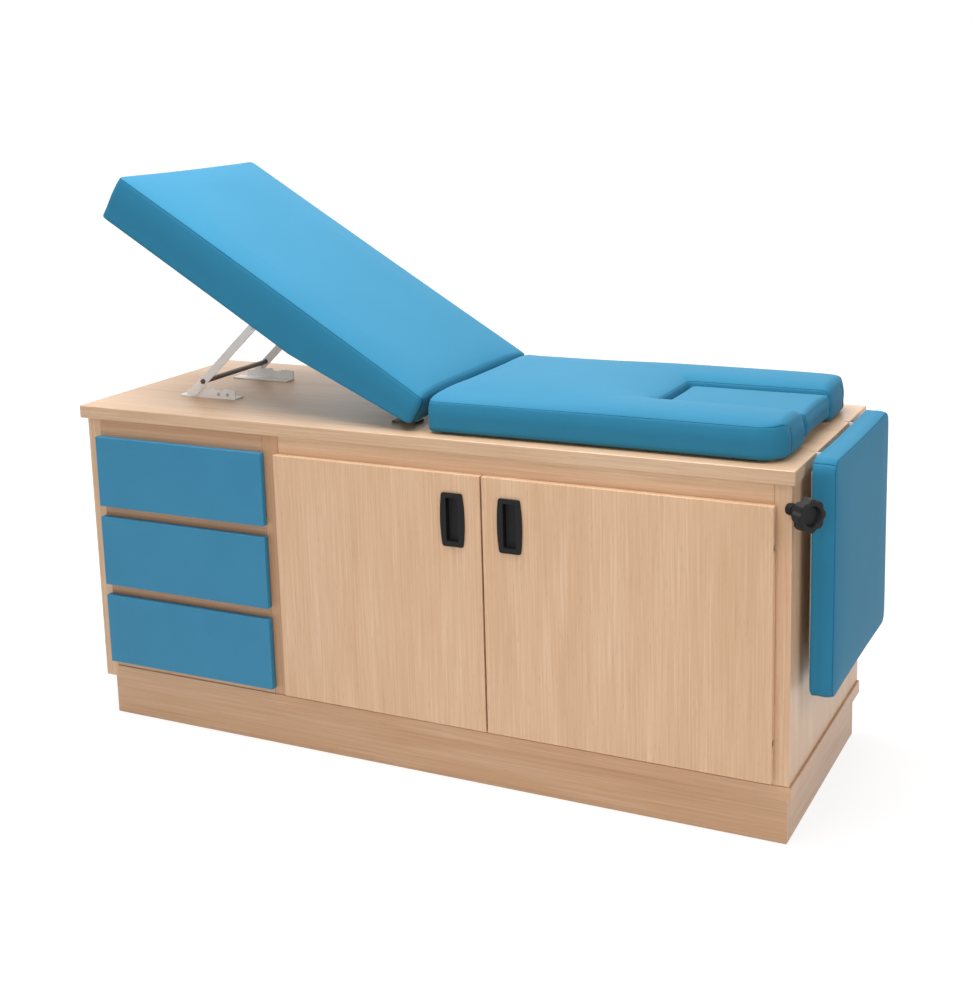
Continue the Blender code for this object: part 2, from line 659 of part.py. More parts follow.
def build_pull(name, x, parent):
    """A barrel-shaped flange with a finger cup behind it, set in a pocket in the door."""
    face = FRONT_PLANE - DOOR_THICKNESS - GAP
    centre = FRONTS_TOP - PULL_DROP
    half = PULL_HEIGHT / 2
    bulge = (PULL_WIDTH_MIDDLE - PULL_WIDTH_END) / 2
    steps = 8
    right = []
    for step in range(steps + 1):
        share = 2 * step / steps - 1
        right.append((PULL_WIDTH_END / 2 + bulge * (1 - share ** 2), share * half))
    outline = right + [(-px, pz) for px, pz in reversed(right)]
    at = Vector((x, face - PULL_FLANGE / 2, centre)) - parent.location
    flange = place(
        name, plate_mesh(name, outline, PULL_FLANGE), BLACK_PLASTIC, at, ALONG_Y, parent)
    round_edges(flange, PULL_FLANGE / 3)
    cup_half = PULL_CUP_WIDTH / 2
    cup_tall = PULL_CUP_HEIGHT / 2
    cup_back = face + PULL_CUP_DEPTH
    wall = PULL_CUP_WALL
    fuse(flange, box_tool(
        name + "_cup", (x - cup_half, x + cup_half), (face - PULL_FLANGE / 2, cup_back),
        (centre - cup_tall, centre + cup_tall)))
    cut(flange, box_tool(
        name + "_recess", (x - cup_half + wall, x + cup_half - wall),
        (face - 2 * PULL_FLANGE, cup_back - wall),
        (centre - cup_tall + wall, centre + cup_tall - wall)))
    return box_tool(
        name + "_pocket", (x - cup_half - GAP, x + cup_half + GAP),
        (face - PULL_FLANGE, cup_back + GAP),
        (centre - cup_tall - GAP, centre + cup_tall + GAP))


def build_door(name, x, hinge_side, pull_x):
    """A door on two pivots near one edge. hinge_side is -1 at its left edge, +1 at its right."""
    pin_y = FRONT_PLANE - PIVOT_SETBACK
    stile_face = DOORS_LEFT if hinge_side < 0 else DOORS_RIGHT
    pin_x = stile_face - hinge_side * (GAP + PIVOT_LEAF / 2)
    middle = (DOORS_BOTTOM + FRONTS_TOP) / 2
    axis = axis_empty(name + "_axis", (pin_x, pin_y, middle))
    depth = (FRONT_PLANE - DOOR_THICKNESS, FRONT_PLANE)
    mesh = box_mesh(name, x, depth, (DOORS_BOTTOM, FRONTS_TOP), axis.location)
    door = place(name, mesh, WOOD, parent=axis)
    round_edges(door, BOARD_EDGE)
    cut(door, build_pull(name + "_pull", pull_x, axis))
    bore = PIVOT_PIN_RADIUS + GAP
    edge = x[0] if hinge_side < 0 else x[1]
    notch_x = sorted((edge + hinge_side * bore, pin_x - hinge_side * 2 * bore))
    ends = {"lower": DOORS_BOTTOM + PIVOT_FROM_END, "upper": FRONTS_TOP - PIVOT_FROM_END}
    for end, height in ends.items():
        build_pivot(name + "_pivot_" + end, pin_x, height)
        half = PIVOT_TONGUE_HEIGHT / 2 + 2 * GAP
        cut(door, box_tool(
            name + "_notch_" + end, notch_x, (pin_y - 2 * bore, FRONT_PLANE + bore),
            (height - half, height + half)))
        cut(door, rod_tool(
            name + "_bore_" + end, bore, PIVOT_PIN_LENGTH + 2 * GAP, (pin_x, pin_y, height),
            ALONG_Z, sides=16))


def build_doors():
    right_start = DOORS_MEET + DOOR_MEETING_GAP
    build_door("left_door", (LEFT_DOOR_EDGE, DOORS_MEET), -1, DOORS_MEET - PULL_INSET)
    build_door("right_door", (right_start, RIGHT_DOOR_EDGE), 1, right_start + PULL_INSET)


def build_table_top():
    top = board(
        "table_top", (X_HEAD, X_FOOT), (Y_FRONT, Y_BACK), (TOP_UNDERSIDE, TABLE_HEIGHT), WOOD,
        edge=1.5 * BOARD_EDGE)
    slot_half = FLAP_ARM_THICKNESS / 2 + FLAP_SLOT_CLEAR
    slot_back = FLAP_AXIS_X - FLAP_ARM_HEIGHT / 2 - 4 * FLAP_SLOT_CLEAR
    slot_floor = FLAP_AXIS_Z - FLAP_ARM_HEIGHT / 2 - 4 * FLAP_SLOT_CLEAR
    for side, name in ((-1, "front"), (1, "rear")):
        middle = side * FLAP_ARM_SPREAD
        cut(top, box_tool(
            "flap_slot_" + name, (slot_back, X_FOOT + TOP_THICKNESS),
            (middle - slot_half, middle + slot_half), (slot_floor, TABLE_HEIGHT + TOP_THICKNESS)))
        cut(top, rod_tool(
            "flap_pin_bore_" + name, FLAP_PIN_RADIUS + GAP, FLAP_PIN_LENGTH + 2 * GAP,
            (FLAP_AXIS_X, middle, FLAP_AXIS_Z), ALONG_Y, sides=16))


def build_seat():
    start, end = SEAT_START, SEAT_END
    width = (-PAD_HALF, PAD_HALF)
    bottom = TABLE_HEIGHT + PAD_LIFT
    seam = TABLE_HEIGHT + SEAT_HEIGHT
    board_top = TABLE_HEIGHT + GAP + SEAT_BOARD_THICKNESS
    inset = SEAT_BOARD_INSET
    board_x = (start + inset, end - inset)
    board_y = (width[0] + inset, width[1] - inset)
    board("seat_board", board_x, board_y, (TABLE_HEIGHT + GAP, board_top), PLYWOOD)
    foot, hinge = SEAT_CORNER_FOOT, SEAT_CORNER_HINGE
    mesh = pad_mesh(
        "seat_pad", (start, end), width, (hinge, foot, foot, hinge), seam - bottom, SEAT_CROWN)
    pad = place("seat_pad", mesh, VINYL, (0, 0, bottom))
    cut(pad, box_tool(
        "seat_board_recess", (board_x[0] - GAP, board_x[1] + GAP),
        (board_y[0] - GAP, board_y[1] + GAP), (bottom - PAD_LIFT, board_top + GAP)))
    cutout_x = (end - CUTOUT_LENGTH, end + CUTOUT_LENGTH)
    half = CUTOUT_WIDTH / 2
    rings = []
    levels = (
        (0, bottom - PAD_LIFT), (0, seam - 2 * CUTOUT_ROLL), (CUTOUT_LIP, seam - CUTOUT_ROLL),
        (CUTOUT_ROLL, seam), (4 * CUTOUT_ROLL, seam + 3 * SEAT_CROWN))
    for flare, level in levels:
        outline = rounded_outline(
            (cutout_x[0] - flare, cutout_x[1] + flare), (-half - flare, half + flare),
            [CUTOUT_CORNER + flare] * 4)
        rings.append([(px, py, level) for px, py in outline])
    cut(pad, place("seat_cutout", loft_mesh("seat_cutout", rings)))
    infill_low = board_top + GAP
    infill_x = (cutout_x[0] + INFILL_CLEAR, end)
    infill_half = half - INFILL_CLEAR
    corner = CUTOUT_CORNER - INFILL_CLEAR
    mesh = pad_mesh(
        "infill_pad", infill_x, (-infill_half, infill_half), [corner] * 4,
        seam - INFILL_DROP - infill_low, INFILL_CROWN, bottom_round=PAD_EDGE)
    place("infill_pad", mesh, VINYL, (0, 0, infill_low))


def heel_line(reach):
    """Height of the backrest's underside at a distance from the hinge line towards the head."""
    span = BACKREST_BEVEL_START + BACKREST_HEEL_BOTTOM
    share = (BACKREST_BEVEL_START - reach) / span
    return -BACKREST_BOTTOM + max(share, 0) * (BACKREST_BOTTOM + BACKREST_HEEL_RISE)


def backrest_pad_mesh():
    """The thick cushion: a bevelled heel, drawn-in sides, a top seam and a crown."""
    thickness = BACKREST_TOP + BACKREST_BOTTOM
    width = PAD_HALF
    reach = width * CROWN_SHARE
    levels = pad_levels(thickness, PAD_BOTTOM_ROUND, PAD_EDGE, PAD_DRAW)
    levels += crown_levels(reach, PAD_EDGE, thickness, BACKREST_CROWN)
    rings = []
    for inset, level in levels:
        share = min(level / thickness, 1)
        heel = BACKREST_HEEL_BOTTOM + (BACKREST_HEEL_TOP - BACKREST_HEEL_BOTTOM) * share
        corner = max(BACKREST_CORNER - inset, PAD_CORNER_LEAST)
        outline = rounded_outline(
            (-BACKREST_REACH + inset, heel - inset), (-width + inset, width - inset),
            [corner] * 4, (-BACKREST_BEVEL_START,))
        ring = []
        for px, py in outline:
            lift = heel_line(-px) + BACKREST_BOTTOM
            ring.append((px, py, -BACKREST_BOTTOM + level + lift * max(1 - share, 0)))
        rings.append(ring)
    bm = bmesh.new()
    bm.from_mesh(loft_mesh("backrest_form", rings))
    bm.faces.ensure_lookup_table()
    for cap in (bm.faces[-2], bm.faces[-1]):
        across = [v for v in cap.verts if abs(v.co.x + BACKREST_BEVEL_START) < 0.0001]
        bmesh.ops.connect_verts(bm, verts=across)
    return mesh_from(bm, "backrest_pad", smooth_angle=50)


def build_backrest():
    hinge = axis_empty(
        "backrest_axis", (HINGE_X, 0, HINGE_Z), (0, math.radians(BACKREST_ANGLE), 0))
    pad = place("backrest_pad", backrest_pad_mesh(), VINYL, parent=hinge)
    half = POCKET_HALF
    cut(pad, box_tool(
        "prop_pocket", (-POCKET_END, -POCKET_START), (-half, half),
        (-2 * BACKREST_BOTTOM, POCKET_CEILING), parent=hinge))
    ceiling = POCKET_CEILING - GAP
    board(
        "backrest_board", (-POCKET_END + POCKET_FIT, -POCKET_START - POCKET_FIT),
        (-half + POCKET_FIT, half - POCKET_FIT), (ceiling - POCKET_BOARD, ceiling), PLYWOOD,
        parent=hinge)
    for side, name in ((-1, "front"), (1, "rear")):
        build_hinge(name, side, hinge)
    build_prop(hinge, ceiling - POCKET_BOARD - GAP)


def build_hinge(name, side, hinge):
    """A lug on a plate screwed to the table top, its pin, and the arm under the backrest."""
    lug_y = side * HINGE_SPREAD
    plate_top = -HINGE_HEIGHT + GAP + HINGE_PLATE_THICKNESS
    half = HINGE_PLATE_LENGTH / 2
    base_name = "backrest_hinge_base_" + name
    base = board(
        base_name, (HINGE_X - half, HINGE_X + half),
        (lug_y - HINGE_PLATE_WIDTH / 2, lug_y + HINGE_PLATE_WIDTH / 2),
        (TABLE_HEIGHT + GAP, HINGE_Z + plate_top), DARK_STEEL, edge=0)
    foot = plate_top - HINGE_PLATE_THICKNESS / 2
    outline = [(-HINGE_LUG_FOOT / 2, foot), (HINGE_LUG_FOOT / 2, foot)]
    outline += arc((0, 0), HINGE_LUG_RADIUS, -20, 200, 10)
    lug = plate_mesh(base_name + "_lug", outline, HINGE_LUG_THICKNESS)
    fuse(base, place(base_name + "_lug", lug, None, (HINGE_X, lug_y, HINGE_Z), ALONG_Y))
    arm_y = lug_y + side * (HINGE_LUG_THICKNESS / 2 + GAP + HINGE_ARM_THICKNESS / 2)
    pin_start = lug_y - side * HINGE_LUG_THICKNESS / 4
    pin_end = arm_y + side * (HINGE_ARM_THICKNESS / 2 + HINGE_PIN_RADIUS)
    fuse(base, rod_tool(
        base_name + "_pin", HINGE_PIN_RADIUS, abs(pin_end - pin_start),
        (HINGE_X, (pin_start + pin_end) / 2, HINGE_Z), ALONG_Y, sides=16))
    under = 1.2 * GAP
    outline = [
        (HINGE_ARM_HEEL, heel_line(-HINGE_ARM_HEEL) - under - HINGE_ARM_DEPTH / 2),
        (HINGE_ARM_HEEL, heel_line(-HINGE_ARM_HEEL) - under),
        (-HINGE_ARM_REACH, heel_line(HINGE_ARM_REACH) - under),
        (-HINGE_ARM_REACH, heel_line(HINGE_ARM_REACH) - under - HINGE_ARM_DEPTH)]
    outline += arc((0, 0), HINGE_LUG_RADIUS, 200, 340, 8)
    arm_name = "backrest_hinge_arm_" + name
    arm = place(
        arm_name, plate_mesh(arm_name, outline, HINGE_ARM_THICKNESS), DARK_STEEL, (0, arm_y, 0),
        ALONG_Y, hinge)
    cut(arm, rod_tool(
        arm_name + "_hole", HINGE_PIN_RADIUS + GAP, 2 * HINGE_ARM_THICKNESS, (0, arm_y, 0), ALONG_Y,
        sides=16, parent=hinge))


def build_prop(hinge, seat):
    """The struts hang from brackets on the backrest's board, tied by a bar over their studs."""
    swing = -math.radians(PROP_RATIO * BACKREST_ANGLE)
    pivot = axis_empty(
        "prop_axis", (-PROP_FROM_HINGE, 0, -PROP_BELOW_HINGE), (0, swing, 0), hinge)
    bar_x = -PROP_LENGTH + PROP_BAR_FROM_FOOT
    stud_x = -PROP_LENGTH + PROP_STUD_FROM_FOOT
    half = STRUT_WIDTH / 2
    for side, name in ((-1, "front"), (1, "rear")):
        strut_y = side * PROP_SPREAD
        outline = arc((0, 0), half, -90, 90, 8) + arc((-PROP_LENGTH, 0), half, 90, 270, 8)
        strut_name = "prop_strut_" + name
        strut = place(
            strut_name, plate_mesh(strut_name, outline, STRUT_THICKNESS), WHITE_STEEL,
            (0, strut_y, 0), ALONG_Y, pivot)
        round_edges(strut, STRUT_THICKNESS / 8)
        cut(strut, rod_tool(
            strut_name + "_eye", PROP_PIN_RADIUS + GAP, 2 * STRUT_THICKNESS, (0, strut_y, 0), ALONG_Y,
            sides=16, parent=pivot))
        cut(strut, rod_tool(
            strut_name + "_bar_hole", PROP_BAR_RADIUS + GAP, 2 * STRUT_THICKNESS,
            (bar_x, strut_y, 0), ALONG_Y, sides=16, parent=pivot))
        outer = strut_y + side * STRUT_THICKNESS / 2
        tip = outer - side * PROP_STUD_INSIDE
        fuse(strut, rod_tool(
            strut_name + "_stud", PROP_STUD_RADIUS, PROP_STUD_INSIDE + PROP_STUD_HEAD / 2,
            (stud_x, (outer + tip) / 2 + side * PROP_STUD_HEAD / 4, 0), ALONG_Y, sides=16,
            parent=pivot))
        fuse(strut, rod_tool(
            strut_name + "_stud_head", PROP_STUD_HEAD_RADIUS, PROP_STUD_HEAD + STRUT_THICKNESS / 2,
            (stud_x, outer + side * (PROP_STUD_HEAD - STRUT_THICKNESS / 2) / 2, 0), ALONG_Y,
            sides=16, parent=pivot))
        build_prop_bracket(name, side, hinge, seat)
    length = 2 * (PROP_SPREAD + STRUT_THICKNESS / 2 + PROP_BAR_PROUD)
    place(
        "prop_bar", rod_mesh("prop_bar", PROP_BAR_RADIUS, length, 16), DARK_STEEL, (bar_x, 0, 0),
        ALONG_Y, pivot)


def build_prop_bracket(name, side, hinge, seat):
    """A small plate under the backrest's board, its lug beside the strut, and the rivet."""
    bracket_name = "prop_bracket_" + name
    lug_y = side * (PROP_SPREAD - STRUT_THICKNESS / 2 - GAP - PROP_LUG_THICKNESS / 2)
    half = PROP_PLATE_LENGTH / 2
    edge = lug_y + side * PROP_LUG_THICKNESS / 2
    plate_y = sorted((edge, edge - side * PROP_PLATE_WIDTH))
    x = (-PROP_FROM_HINGE - half, -PROP_FROM_HINGE + half)
    bracket = board(
        bracket_name, x, plate_y, (seat - PROP_PLATE_THICKNESS, seat), WHITE_STEEL, parent=hinge,
        edge=0)
    top = seat + PROP_BELOW_HINGE - PROP_PLATE_THICKNESS / 2
    outline = [(PROP_LUG_FOOT / 2, top), (-PROP_LUG_FOOT / 2, top)]
    outline += arc((0, 0), PROP_LUG_RADIUS, 180, 360, 10)
    inset = PROP_LUG_THICKNESS / 20
    lug = plate_mesh(bracket_name + "_lug", outline, PROP_LUG_THICKNESS - 2 * inset)
    at = (-PROP_FROM_HINGE, lug_y, -PROP_BELOW_HINGE)
    fuse(bracket, place(bracket_name + "_lug", lug, None, at, ALONG_Y, hinge))
    pin_start = lug_y - side * PROP_LUG_THICKNESS / 4
    pin_end = side * (PROP_SPREAD + STRUT_THICKNESS / 2 + PROP_PIN_RADIUS / 2)
    fuse(bracket, rod_tool(
        bracket_name + "_rivet", PROP_PIN_RADIUS, abs(pin_end - pin_start),
        (-PROP_FROM_HINGE, (pin_start + pin_end) / 2, -PROP_BELOW_HINGE), ALONG_Y, sides=16,
        parent=hinge))


def prop_stud_x():
    """Where the prop's studs are along the table with the backrest raised as built."""
    tilt = math.radians(BACKREST_ANGLE)
    lean = math.radians((PROP_RATIO - 1) * BACKREST_ANGLE)
    pivot = HINGE_X - PROP_FROM_HINGE * math.cos(tilt) - PROP_BELOW_HINGE * math.sin(tilt)
    return pivot - (PROP_LENGTH - PROP_STUD_FROM_FOOT) * math.cos(lean)


def build_ratchets():
    """Angle plates on the table top whose toothed webs take the prop's studs."""
    start = prop_stud_x() - RATCHET_BEHIND_STUD
    end = start + RATCHET_LENGTH
    seat = TABLE_HEIGHT + GAP
    radius = RATCHET_TOE / 2
    notch = start + RATCHET_TOOTH_AT + RATCHET_NOTCH_DEPTH
    valley = RATCHET_TOOTH - RATCHET_NOTCH_DEPTH
    rise = notch + RATCHET_NOTCH_WIDTH
    outline = [(end - GAP, RATCHET_THICKNESS / 2), (end - GAP, RATCHET_END)]
    outline += [(rise + RATCHET_NOTCH_DEPTH, RATCHET_BACK), (rise, valley), (notch, valley)]
    outline += [(start + RATCHET_TOOTH_AT, RATCHET_TOOTH)]
    outline += arc((start + RATCHET_TOE_AT, radius), radius, 100, 220, 8)
    outline += [(start + RATCHET_TOE_AT - radius, RATCHET_THICKNESS / 2)]
    for side, name in ((-1, "front"), (1, "rear")):
        web_y = side * (PROP_SPREAD - RATCHET_INSIDE)
        outer = web_y + side * RATCHET_THICKNESS / 2
        flange_y = sorted((outer, outer - side * RATCHET_FLANGE))
        flange = board(
            "ratchet_plate_" + name, (start, end), flange_y, (seat, seat + RATCHET_THICKNESS),
            WHITE_STEEL, edge=0)
        inset = RATCHET_THICKNESS / 20
        web = plate_mesh("ratchet_web_" + name, outline, RATCHET_THICKNESS - 2 * inset)
        fuse(flange, place("ratchet_web_" + name, web, None, (0, web_y, seat), ALONG_Y))


def build_flap():
    """The padded leaf hangs from two bent arms whose pins lie in the table top's slots."""
    axis = axis_empty("flap_axis", (FLAP_AXIS_X, 0, FLAP_AXIS_Z))
    inner = X_FOOT + FLAP_CLEAR - FLAP_AXIS_X
    half = FLAP_HALF
    board_in = FLAP_BOARD_INSET
    board(
        "flap_board", (inner, inner + FLAP_BOARD), (-half + board_in, half - board_in),
        (FLAP_RISE - FLAP_LENGTH + board_in, FLAP_RISE - board_in), WHITE_BOARD, parent=axis)
    mesh = pad_mesh(
        "flap_pad", (-FLAP_RISE, FLAP_LENGTH - FLAP_RISE), (-half, half), [FLAP_CORNER] * 4,
        FLAP_PAD, FLAP_CROWN, bottom_round=PAD_EDGE)
    place("flap_pad", mesh, VINYL, (inner + FLAP_BOARD + GAP, 0, 0), ALONG_X, axis)
    arm = FLAP_ARM_HEIGHT / 2
    leg = (X_FOOT + FLAP_ARM_STANDOFF - FLAP_AXIS_X, inner - GAP)
    for side, name in ((-1, "front"), (1, "rear")):
        outline = arc((0, 0), arm, 90, 270, 8)
        outline += [(leg[0], -arm), (leg[0], -FLAP_ARM_LEG), (leg[1], -FLAP_ARM_LEG), (leg[1], arm)]
        arm_name = "flap_arm_" + name
        middle = side * FLAP_ARM_SPREAD
        bar = place(
            arm_name, plate_mesh(arm_name, outline, FLAP_ARM_THICKNESS), WHITE_STEEL, (0, middle, 0),
            ALONG_Y, axis)
        fuse(bar, rod_tool(
            arm_name + "_pin", FLAP_PIN_RADIUS, FLAP_PIN_LENGTH, (0, middle, 0), ALONG_Y, sides=16,
            parent=axis))


def build_knob():
    """A lobed hand knob with a dished face, in a bush whose collar sits over the stile's corner."""
    axis = axis_empty("knob_axis", (CABINET_FOOT, CABINET_FRONT, KNOB_Z), KNOB_AXIS_TURN)
    collar = place(
        "knob_bush", rod_mesh("knob_bush", COLLAR_RADIUS, COLLAR_HEIGHT + COLLAR_SADDLE), BARE_STEEL,
        (0, 0, (COLLAR_HEIGHT - COLLAR_SADDLE) / 2), parent=axis)
    cut(collar, box_tool(
        "knob_collar_seat", (CABINET_FOOT - RIGHT_STILE, CABINET_FOOT + GAP),
        (CABINET_FRONT - GAP, CABINET_FRONT + RIGHT_STILE),
        (KNOB_Z - RIGHT_STILE, KNOB_Z + RIGHT_STILE)))
    fuse(collar, rod_tool(
        "knob_bush_sleeve", BUSH_RADIUS, BUSH_LENGTH + COLLAR_HEIGHT / 2,
        (0, 0, (COLLAR_HEIGHT / 2 - BUSH_LENGTH) / 2), ALONG_Z, parent=axis))
    cut(collar, rod_tool(
        "knob_bush_bore", KNOB_SPINDLE_RADIUS + GAP, KNOB_SPINDLE_LENGTH + 2 * COLLAR_HEIGHT,
        (0, 0, COLLAR_HEIGHT - GAP - KNOB_SPINDLE_LENGTH / 2), ALONG_Z, sides=16, parent=axis))
    outline = []
    steps = 8 * KNOB_LOBES
    for step in range(steps):
        angle = 2 * math.pi * step / steps
        dip = KNOB_LOBE_DEPTH * (0.5 - 0.5 * math.cos(KNOB_LOBES * angle)) ** 2
        radius = KNOB_RADIUS - dip
        outline.append((radius * math.cos(angle), radius * math.sin(angle)))
    middle = KNOB_STANDOFF + KNOB_THICKNESS / 2
    head_mesh = plate_mesh("star_knob", outline, KNOB_THICKNESS)
    for vertex in head_mesh.vertices:
        vertex.co.z += middle
    knob = place("star_knob", head_mesh, BLACK_PLASTIC, parent=axis)
    round_edges(knob, KNOB_EDGE, segments=2)
    face = KNOB_STANDOFF + KNOB_THICKNESS
    cut(knob, rod_tool(
        "knob_dish", KNOB_DISH_RADIUS - KNOB_DISH_TAPER, 2 * KNOB_DISH_DEPTH, (0, 0, face), ALONG_Z,
        far_radius=KNOB_DISH_RADIUS + KNOB_DISH_TAPER, parent=axis))
    neck_start = COLLAR_HEIGHT + GAP
    neck_length = KNOB_STANDOFF - neck_start + KNOB_THICKNESS / 4
    fuse(knob, rod_tool(
        "knob_neck", KNOB_NECK_RADIUS, neck_length, (0, 0, neck_start + neck_length / 2), ALONG_Z,
        parent=axis))
    fuse(knob, rod_tool(
        "knob_spindle", KNOB_SPINDLE_RADIUS, KNOB_SPINDLE_LENGTH + KNOB_STANDOFF / 2,
        (0, 0, KNOB_STANDOFF / 4 - KNOB_SPINDLE_LENGTH / 2), ALONG_Z, sides=16, parent=axis))


build_plinth()
build_carcass()
build_face_frame()
build_drawers()
build_doors()
build_table_top()
build_ratchets()
build_backrest()
build_seat()
build_flap()
build_knob()
bpy.context.view_layer.update()
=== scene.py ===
import bpy
import math
import numpy as np
from mathutils import Matrix, Vector


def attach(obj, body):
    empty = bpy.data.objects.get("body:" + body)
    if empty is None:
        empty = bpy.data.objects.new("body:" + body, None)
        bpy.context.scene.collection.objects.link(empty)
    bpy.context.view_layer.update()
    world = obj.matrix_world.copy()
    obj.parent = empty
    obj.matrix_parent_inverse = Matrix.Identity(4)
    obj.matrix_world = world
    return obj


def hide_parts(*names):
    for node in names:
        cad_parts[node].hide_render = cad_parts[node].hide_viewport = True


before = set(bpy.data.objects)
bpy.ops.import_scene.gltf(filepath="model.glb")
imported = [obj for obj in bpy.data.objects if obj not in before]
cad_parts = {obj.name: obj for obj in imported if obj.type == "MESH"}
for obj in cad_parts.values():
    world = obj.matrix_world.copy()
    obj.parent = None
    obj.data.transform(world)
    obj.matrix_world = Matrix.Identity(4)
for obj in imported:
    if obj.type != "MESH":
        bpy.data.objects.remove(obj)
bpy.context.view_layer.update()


# Plinth: four boards on edge with a cross brace, set back under the cabinet.
# Particle board faced with beech-print laminate, the grain lying along each board.
def linear(code):
    """An sRGB hex colour as the linear colour that a shader takes."""
    parts = [int(code[k:k + 2], 16) / 255 for k in (1, 3, 5)]
    light = [p / 12.92 if p <= 0.04045 else ((p + 0.055) / 1.055) ** 2.4 for p in parts]
    return (*light, 1.0)


def add(tree, kind, inputs=(), stops=(), **settings):
    """Adds a node with its settings; each input takes a value, or a link from a socket."""
    item = tree.nodes.new("ShaderNode" + kind)
    for key, value in settings.items():
        setattr(item, key, value)
    for key, value in dict(inputs).items():
        if isinstance(value, bpy.types.NodeSocket):
            tree.links.new(value, item.inputs[key])
        else:
            item.inputs[key].default_value = value
    for number, (place, code) in enumerate(stops):
        ramp = item.color_ramp.elements
        stop = ramp[number] if number < 2 else ramp.new(place)
        stop.position = place
        stop.color = linear(code)
    return item


def finish_named(name):
    """A new material with its node tree and its shader."""
    material = bpy.data.materials.new(name)
    material.use_nodes = True
    tree = material.node_tree
    return material, tree, tree.nodes["Principled BSDF"]


def dress(material, *names):
    """Gives CAD nodes their finish."""
    for name in names:
        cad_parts[name].material_slots[0].material = material


def beech_laminate(name, grain, tones):
    # Printed beech under a clear satin wear layer: even pale tan with straight fine lines along
    # the grain, broad soft bands, short darker flecks, and a soft reflection at a low angle.
    material, tree, shader = finish_named(name)
    place = add(tree, "TexCoord").outputs["Object"]
    # Bands about 60 mm wide, lines about 4 mm, both far longer than wide; flecks 2 mm by 25 mm
    # (half that in life, drawn to show).
    stretch = {"bands": 1 / 12, "lines": 1 / 55, "flecks": 1 / 13}
    drawn = {}
    for part, share in stretch.items():
        scale = [1.0, 1.0, 1.0]
        scale[grain] = share
        drawn[part] = add(tree, "Mapping", {"Vector": place, "Scale": scale}).outputs[0]
    bands = add(tree, "TexNoise", {
        "Vector": drawn["bands"], "Scale": 16.0, "Detail": 3.0, "Distortion": 0.6})
    lines = add(tree, "TexNoise", {
        "Vector": drawn["lines"], "Scale": 250.0, "Detail": 4.0, "Distortion": 0.25})
    flecks = add(tree, "TexNoise", {"Vector": drawn["flecks"], "Scale": 480.0, "Detail": 1.0})
    tone = add(tree, "Mix", {0: 0.60, 2: bands.outputs[0], 3: lines.outputs[0]}, data_type="FLOAT")
    colour = add(tree, "ValToRGB", {0: tone.outputs[0]}, stops=(
        (0.30, tones[0]), (0.70, tones[2]), (0.50, tones[1])))
    pick = add(tree, "MapRange", {0: flecks.outputs[0], 1: 0.62, 2: 0.76, 3: 0.0, 4: 0.30})
    fleck_tone = linear("#B58A66")
    final = add(
        tree, "Mix", {0: pick.outputs[0], 6: colour.outputs[0], 7: fleck_tone}, data_type="RGBA")
    tree.links.new(final.outputs[2], shader.inputs["Base Color"])
    gloss = add(tree, "MapRange", {0: lines.outputs[0], 1: 0.3, 2: 0.7, 3: 0.40, 4: 0.32})
    tree.links.new(gloss.outputs[0], shader.inputs["Roughness"])
    relief = add(tree, "Bump", {"Strength": 0.15, "Distance": 0.0002, "Height": lines.outputs[0]})
    tree.links.new(relief.outputs[0], shader.inputs["Normal"])
    shader.inputs["IOR"].default_value = 1.5
    return material


base_tones = ("#C3976F", "#CEA47F", "#DAB594")
base_along = beech_laminate("beech_laminate_base_along", 0, base_tones)
base_across = beech_laminate("beech_laminate_base_across", 1, base_tones)
dress(base_along, "plinth_front", "plinth_back")
dress(base_across, "plinth_left", "plinth_right", "plinth_brace")


# Carcass and face frame: side panels, partition and back on a bottom board, with stiles and
# rails glued over their front edges. The same laminate, upright on the uprights, paler for the
# panels, the right end and the doors, and in a darker copy for the rails, middle stile and
# partition around the drawers: painted shade for the recess under the slab's overhang and between
# the drawer fronts and the doors.
panel_tones = ("#CFA57F", "#DAB38F", "#E6C5A4")
# A darker copy of the panel tones: painted shade on the parts around the drawers.
shade_painted_tones = ("#BC8C65", "#C69873", "#D2A784")
panel_along = beech_laminate("beech_laminate_panel_along", 0, panel_tones)
panel_upright = beech_laminate("beech_laminate_panel_upright", 2, panel_tones)
shade_painted_along = beech_laminate("beech_laminate_shade_painted_along", 0, shade_painted_tones)
shade_painted_upright = beech_laminate("beech_laminate_shade_painted_upright", 2, shade_painted_tones)
dress(base_along, "bottom_board", "bottom_rail_left", "bottom_rail_right", "shelf")
dress(shade_painted_along, "top_rail_left", "drawer_rail_lower", "drawer_rail_upper")
dress(shade_painted_upright, "middle_stile", "partition_panel")
dress(panel_along, "top_rail_right", "back_panel")
dress(panel_upright, "left_side_panel", "right_side_panel", "left_stile", "right_stile")


# Table top: one thick slab over the whole cabinet, slotted at the foot end for the flap's arms.
# The same laminate, grain along the table, screwed down from inside, in a darker, slightly cooler
# tone than the panels: partly the slab's own, partly painted shade that holds its brightly lit top
# down.
slab_tones = ("#C49D7B", "#D0AD8C", "#DBBC9D")
dress(beech_laminate("beech_laminate_slab", 0, slab_tones), "table_top")


